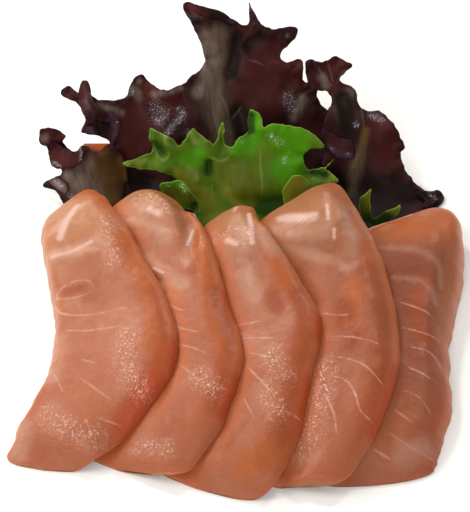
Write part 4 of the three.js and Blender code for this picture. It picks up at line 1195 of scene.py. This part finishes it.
def lettuceBlade(name, looks):
    material, tree = newMaterial(name)
    pattern = addNode(tree, "ShaderNodeUVMap", uv_map="pattern")
    place = addNode(tree, "ShaderNodeTexCoord").outputs["Object"]
    mark = {
        key: addNode(tree, "ShaderNodeAttribute", attribute_name=key).outputs["Fac"]
        for key in ("rimAway", "shineAway", *leafPaints)
    }
    cells = [1 / (bladeGrain[key] * patternUnit) for key in ("streakApart", "streakLong")] + [1]
    streakMap = addNode(tree, "ShaderNodeMapping", {"Vector": pattern, "Scale": cells})
    clouds, crinkles, streaks = [
        addNode(
            tree, "ShaderNodeTexNoise",
            {"Vector": vector, "Scale": scale, "Detail": detail, "Roughness": roughness},
        )
        for vector, scale, detail, roughness in (
            (place, 1 / (bladeGrain["clouds"] * millimetre), 3, 0.5),
            (place, 1 / (bladeGrain["crinkles"] * millimetre), 3, 0.65),
            (streakMap, 1, 5, 0.7),
        )
    ]
    blade = addNode(
        tree, "ShaderNodeValToRGB", {"Fac": clouds},
        ramp=list(zip(cloudStops, (looks["bladeDark"], looks["blade"], looks["bladeWarm"]))),
    )
    # the rim, the painted shines, the painted sheen and the painted glints are made uneven
    unevenRim, unevenShine, unevenSheen, glossShare = [
        addNode(tree, "ShaderNodeMath", {0: value, 1: factor, 2: rest}, operation="MULTIPLY_ADD")
        for value, factor, rest in (
            (clouds, looks["rimWidth"], mark["rimAway"]), (streaks, 0.8, mark["shineAway"]),
            (streaks, mark["paintedSheen"], 0), (mark["gloss"], looks["glintShare"], 0),
        )
    ]
    colour = paintLayers(tree, blade, [
        (mark["bright"], 0.1, 0.8, 1, looks["bright"]),
        (mark["olive"], 0.1, 0.9, 0.9, looks["oliveDark"]),
        (streaks, 0.3, 0.7, mark["olive"], looks["olive"]),
        (mark["amber"], 0, 1, 0.75, looks["amber"]),
        (streaks, 0.6, 0.35, 0.16, looks["bladeDark"]),
        # broad grey painted sheen
        (unevenSheen, 0.06, 0.66, 0.8, looks["paintedSheen"]),
        (unevenRim, looks["rimWidth"] * 2.2, looks["rimWidth"] * 0.7, looks["rimShare"], looks["rim"]),
        (mark["violet"], 0.2, 0.8, 0.8, looks["violet"]),
        # near-black painted shade in hollows and behind leaves
        (mark["shadeDabs"], 0.1, 0.75, 0.9, looks["shadedHollow"]),
        (unevenShine, 0.95, 0.25, looks["shineShare"], looks["shine"]),
        (crinkles, 0.53, 0.62, glossShare, looks["glint"]),
    ])
    # wet glints: a smooth coat on a finely crinkled skin
    wet, roughness = [
        addNode(tree, "ShaderNodeMapRange", {"Value": value, 1: low, 2: high, 3: first, 4: last})
        for value, low, high, first, last in (
            (mark["gloss"], 0.2, 0.8, looks["sheen"], 1), (clouds, 0.3, 0.7, *looks["rough"]),
        )
    ]
    grainHigh = bladeGrain["grainHigh"] * millimetre
    coatBump = addNode(tree, "ShaderNodeBump", {"Height": crinkles, "Strength": 1, "Distance": grainHigh})
    bump = addNode(tree, "ShaderNodeBump", {"Height": streaks, "Strength": 0.3, "Distance": grainHigh})
    shader = addNode(
        tree, "ShaderNodeBsdfPrincipled",
        {"Base Color": colour, "Roughness": roughness, "IOR": 1.42, "Subsurface Weight": looks["through"],
         "Subsurface Radius": looks["throughTint"], "Subsurface Scale": bladeGrain["lightDepth"] * millimetre,
         "Specular IOR Level": 0.09, "Coat Weight": wet, "Coat Roughness": 0.16, "Coat Normal": coatBump,
         "Normal": bump},
    )
    addNode(tree, "ShaderNodeOutputMaterial", {"Surface": shader})
    return material


redBlade = lettuceBlade("redLollo", redLooks)
greenBlade = lettuceBlade("greenLollo", greenLooks)
for name, leaf in leafShapes.items():
    makeLeaf(name, redBlade if leaf["slot"] == "red_leaf" else greenBlade)
print("leaves made")


# ---- the carrot ----

carrot = {"radius": 5.2, "thickness": 5, "edgeRound": 0.5, "backEdge": (-33.4, 48.3), "arcSteps": 40}
carrotLooks = {
    "outer": "#963C06", "core": "#A24808", "skin": "#82340A",
    "coreEnds": (2.6, 3.8), "skinStarts": (5.2, 5.8),  # distances from the middle of the root
    "spots": 1.4286, "spotStray": 0.8, "spotHigh": 0.2, "lightDepth": 1,
}
carrotAt = [(carrot["backEdge"][k] + stand[k]) * millimetre for k in (0, 1)] + [0]


def carrotFlesh():
    # raw carrot sliced with a knife: a paler core, an uneven line where it ends, a moist but dull cut
    looks = carrotLooks
    material, tree = newMaterial("rawCarrotSliced")
    place = addNode(tree, "ShaderNodeTexCoord").outputs["Object"]
    local = addNode(tree, "ShaderNodeVectorMath", {0: place, 1: carrotAt}, operation="SUBTRACT")
    flat = addNode(tree, "ShaderNodeVectorMath", {0: local, 1: (1, 1, 0)}, operation="MULTIPLY")
    reach = addNode(tree, "ShaderNodeVectorMath", {0: flat}, operation="LENGTH").outputs["Value"]
    cells = 1 / (looks["spots"] * millimetre)
    spots = addNode(tree, "ShaderNodeTexNoise", {"Vector": place, "Scale": cells, "Detail": 4})
    stray = looks["spotStray"] * millimetre
    bent = addNode(tree, "ShaderNodeMath", {0: spots, 1: stray, 2: reach}, operation="MULTIPLY_ADD")
    coreEnds, skinStarts = [np.array(looks[key]) * millimetre for key in ("coreEnds", "skinStarts")]
    cut = paintLayers(tree, linear(looks["core"]), [(bent, *coreEnds, 1, looks["outer"])])
    edge = addNode(
        tree, "ShaderNodeMapRange", {"Value": bent, 1: skinStarts[0], 2: skinStarts[1], 3: 0, 4: 1},
    )
    skin = linear(looks["skin"])
    colour = addNode(tree, "ShaderNodeMix", {"Factor": edge, "A": cut, "B": skin}, data_type="RGBA")
    spotHigh = looks["spotHigh"] * millimetre
    bump = addNode(tree, "ShaderNodeBump", {"Height": spots, "Strength": 0.4, "Distance": spotHigh})
    shader = addNode(
        tree, "ShaderNodeBsdfPrincipled",
        {"Base Color": colour, "Roughness": 0.42, "IOR": 1.38, "Subsurface Weight": 0.2,
         "Subsurface Radius": (1.0, 0.4, 0.1), "Subsurface Scale": looks["lightDepth"] * millimetre,
         "Specular IOR Level": 0.2, "Normal": bump},
    )
    addNode(tree, "ShaderNodeOutputMaterial", {"Surface": shader})
    return material


def nodeTree(name, sizes):
    # a geometry tree with its object going in, its result coming out, and a named input for each size
    tree = bpy.data.node_groups.new(name, "GeometryNodeTree")
    tree.interface.new_socket("Geometry", in_out="INPUT", socket_type="NodeSocketGeometry")
    for key in sizes:
        tree.interface.new_socket(key, in_out="INPUT", socket_type="NodeSocketFloat")
    tree.interface.new_socket("Geometry", in_out="OUTPUT", socket_type="NodeSocketGeometry")
    return tree, addNode(tree, "NodeGroupInput").outputs


def runTree(tree, name, base, sizes, bevel):
    # the tree's result with rounded edges, as a plain mesh in an object of its own
    carrier = placed(name + "Carrier", base)
    modifier = carrier.modifiers.new("shape", "NODES")
    modifier.node_group = tree
    for item in tree.interface.items_tree:
        if item.item_type == "SOCKET" and item.in_out == "INPUT" and item.name in sizes:
            modifier[item.identifier] = float(sizes[item.name])
    rounding = carrier.modifiers.new("rounding", "BEVEL")
    rounding.width = bevel
    rounding.segments = 3
    rounding.limit_method = "ANGLE"
    depsgraph = bpy.context.evaluated_depsgraph_get()
    mesh = bpy.data.meshes.new_from_object(carrier.evaluated_get(depsgraph))
    bpy.data.objects.remove(carrier)
    mesh.name = name
    return placed(name, mesh)


def makeCarrot(material):
    # half of a round slice: a half circle filled, thickened and moved to where the piece stands
    sizes = {key: carrot[key] * millimetre for key in ("radius", "thickness")}
    tree, given = nodeTree("carrotHalf", sizes)
    arc = addNode(
        tree, "GeometryNodeCurveArc",
        {"Resolution": carrot["arcSteps"], "Radius": given["radius"], "Start Angle": math.pi,
         "Sweep Angle": math.pi, "Connect Center": False}, mode="RADIUS",
    )
    closed = addNode(tree, "GeometryNodeSetSplineCyclic", {"Geometry": arc.outputs["Curve"], "Cyclic": True})
    filled = addNode(tree, "GeometryNodeFillCurve", {"Curve": closed}, mode="NGONS")
    turned = addNode(tree, "GeometryNodeFlipFaces", {"Mesh": filled})
    raised = addNode(
        tree, "GeometryNodeExtrudeMesh",
        {"Mesh": filled, "Offset": (0, 0, 1), "Offset Scale": given["thickness"], "Individual": False},
        mode="FACES",
    )
    joined = addNode(tree, "GeometryNodeJoinGeometry")
    tree.links.new(turned.outputs[0], joined.inputs[0])
    tree.links.new(raised.outputs["Mesh"], joined.inputs[0])
    merged = addNode(tree, "GeometryNodeMergeByDistance", {"Geometry": joined, "Distance": 1e-6})
    moved = addNode(tree, "GeometryNodeTransform", {"Geometry": merged, "Translation": carrotAt})
    realized = addNode(tree, "GeometryNodeRealizeInstances", {"Geometry": moved})
    painted = addNode(tree, "GeometryNodeSetMaterial", {"Geometry": realized, "Material": material})
    addNode(tree, "NodeGroupOutput", {"Geometry": painted})
    seed = bpy.data.meshes.new("seedCarrot")
    piece = runTree(tree, "carrotHalf", seed, sizes, carrot["edgeRound"] * millimetre)
    piece.data.shade_smooth()
    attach(piece, "root")
    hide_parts("carrot_piece")


makeCarrot(carrotFlesh())
print("carrot made")


# ---- floor, light and camera ----

# The stage is in metres.
studio = {
    "floor": "#F6F6F5", "floorSize": 4, "floorGrain": 0.01667, "air": "#F8F6F4", "airStrength": 0.64,
    "lights": {
        "leftLight": {"at": (-0.3, -0.02, 0.26), "size": 0.22, "power": 0.8, "tint": "#FFF6EC"},
        "backLight": {"at": (-0.34, 0.5, 0.52), "size": 0.11, "power": 2.6, "tint": "#FFFDF8"},
        "rightLight": {"at": (0.317, 0.493, 0.546), "size": 0.1, "power": 1.5, "tint": "#FFFDF8"},
        "frontLight": {"at": (-0.2, -0.7, 0.45), "size": 0.36, "power": 2.0, "tint": "#FFFAF4"},
    },
    "eye": (-0.00269, -0.242405, 0.30544), "tilt": 39.2, "lens": 123.7, "sensor": 36,
}


def softLight(name, looks):
    lamp = bpy.data.lights.new(name, "AREA")
    lamp.shape = "DISK"
    lamp.size = looks["size"]
    lamp.energy = looks["power"]
    lamp.color = linear(looks["tint"])[:3]
    light = placed(name, lamp)
    light.location = looks["at"]
    aim = -light.location.normalized()
    light.rotation_euler = aim.to_track_quat("-Z", "Y").to_euler()


for name, looks in studio["lights"].items():
    softLight(name, looks)

half = studio["floorSize"] / 2
floorMesh = bpy.data.meshes.new("paleFloor")
corners = [(-half, -half, 0), (half, -half, 0), (half, half, 0), (-half, half, 0)]
floorMesh.from_pydata(corners, [], [(0, 1, 2, 3)])
floorMaterial, floorTree = newMaterial("matBoard")
floorGrain = addNode(floorTree, "ShaderNodeTexNoise", {"Scale": 1 / studio["floorGrain"], "Detail": 4})
floorShader = addNode(
    floorTree, "ShaderNodeBsdfPrincipled",
    {"Base Color": linear(studio["floor"]), "Specular IOR Level": 0.2,
     "Roughness": addNode(floorTree, "ShaderNodeMapRange", {"Value": floorGrain, 3: 0.75, 4: 0.9})},
)
addNode(floorTree, "ShaderNodeOutputMaterial", {"Surface": floorShader})
floorMesh.materials.append(floorMaterial)
floor = placed("paleFloor", floorMesh)

world = bpy.data.worlds.new("studioAir")
world.use_nodes = True
world.node_tree.nodes.clear()
air = addNode(
    world.node_tree, "ShaderNodeBackground",
    {"Color": linear(studio["air"]), "Strength": studio["airStrength"]},
)
addNode(world.node_tree, "ShaderNodeOutputWorld", {"Surface": air})
bpy.context.scene.world = world

lens = bpy.data.cameras.new("frontAbove")
lens.sensor_fit = "HORIZONTAL"
lens.sensor_width = studio["sensor"]
lens.lens = studio["lens"]
camera = placed("frontAbove", lens)
camera.location = studio["eye"]
camera.rotation_euler = (math.radians(studio["tilt"]), 0, 0)
bpy.context.scene.camera = camera
bpy.context.scene.view_settings.view_transform = "Standard"
print("stage set")
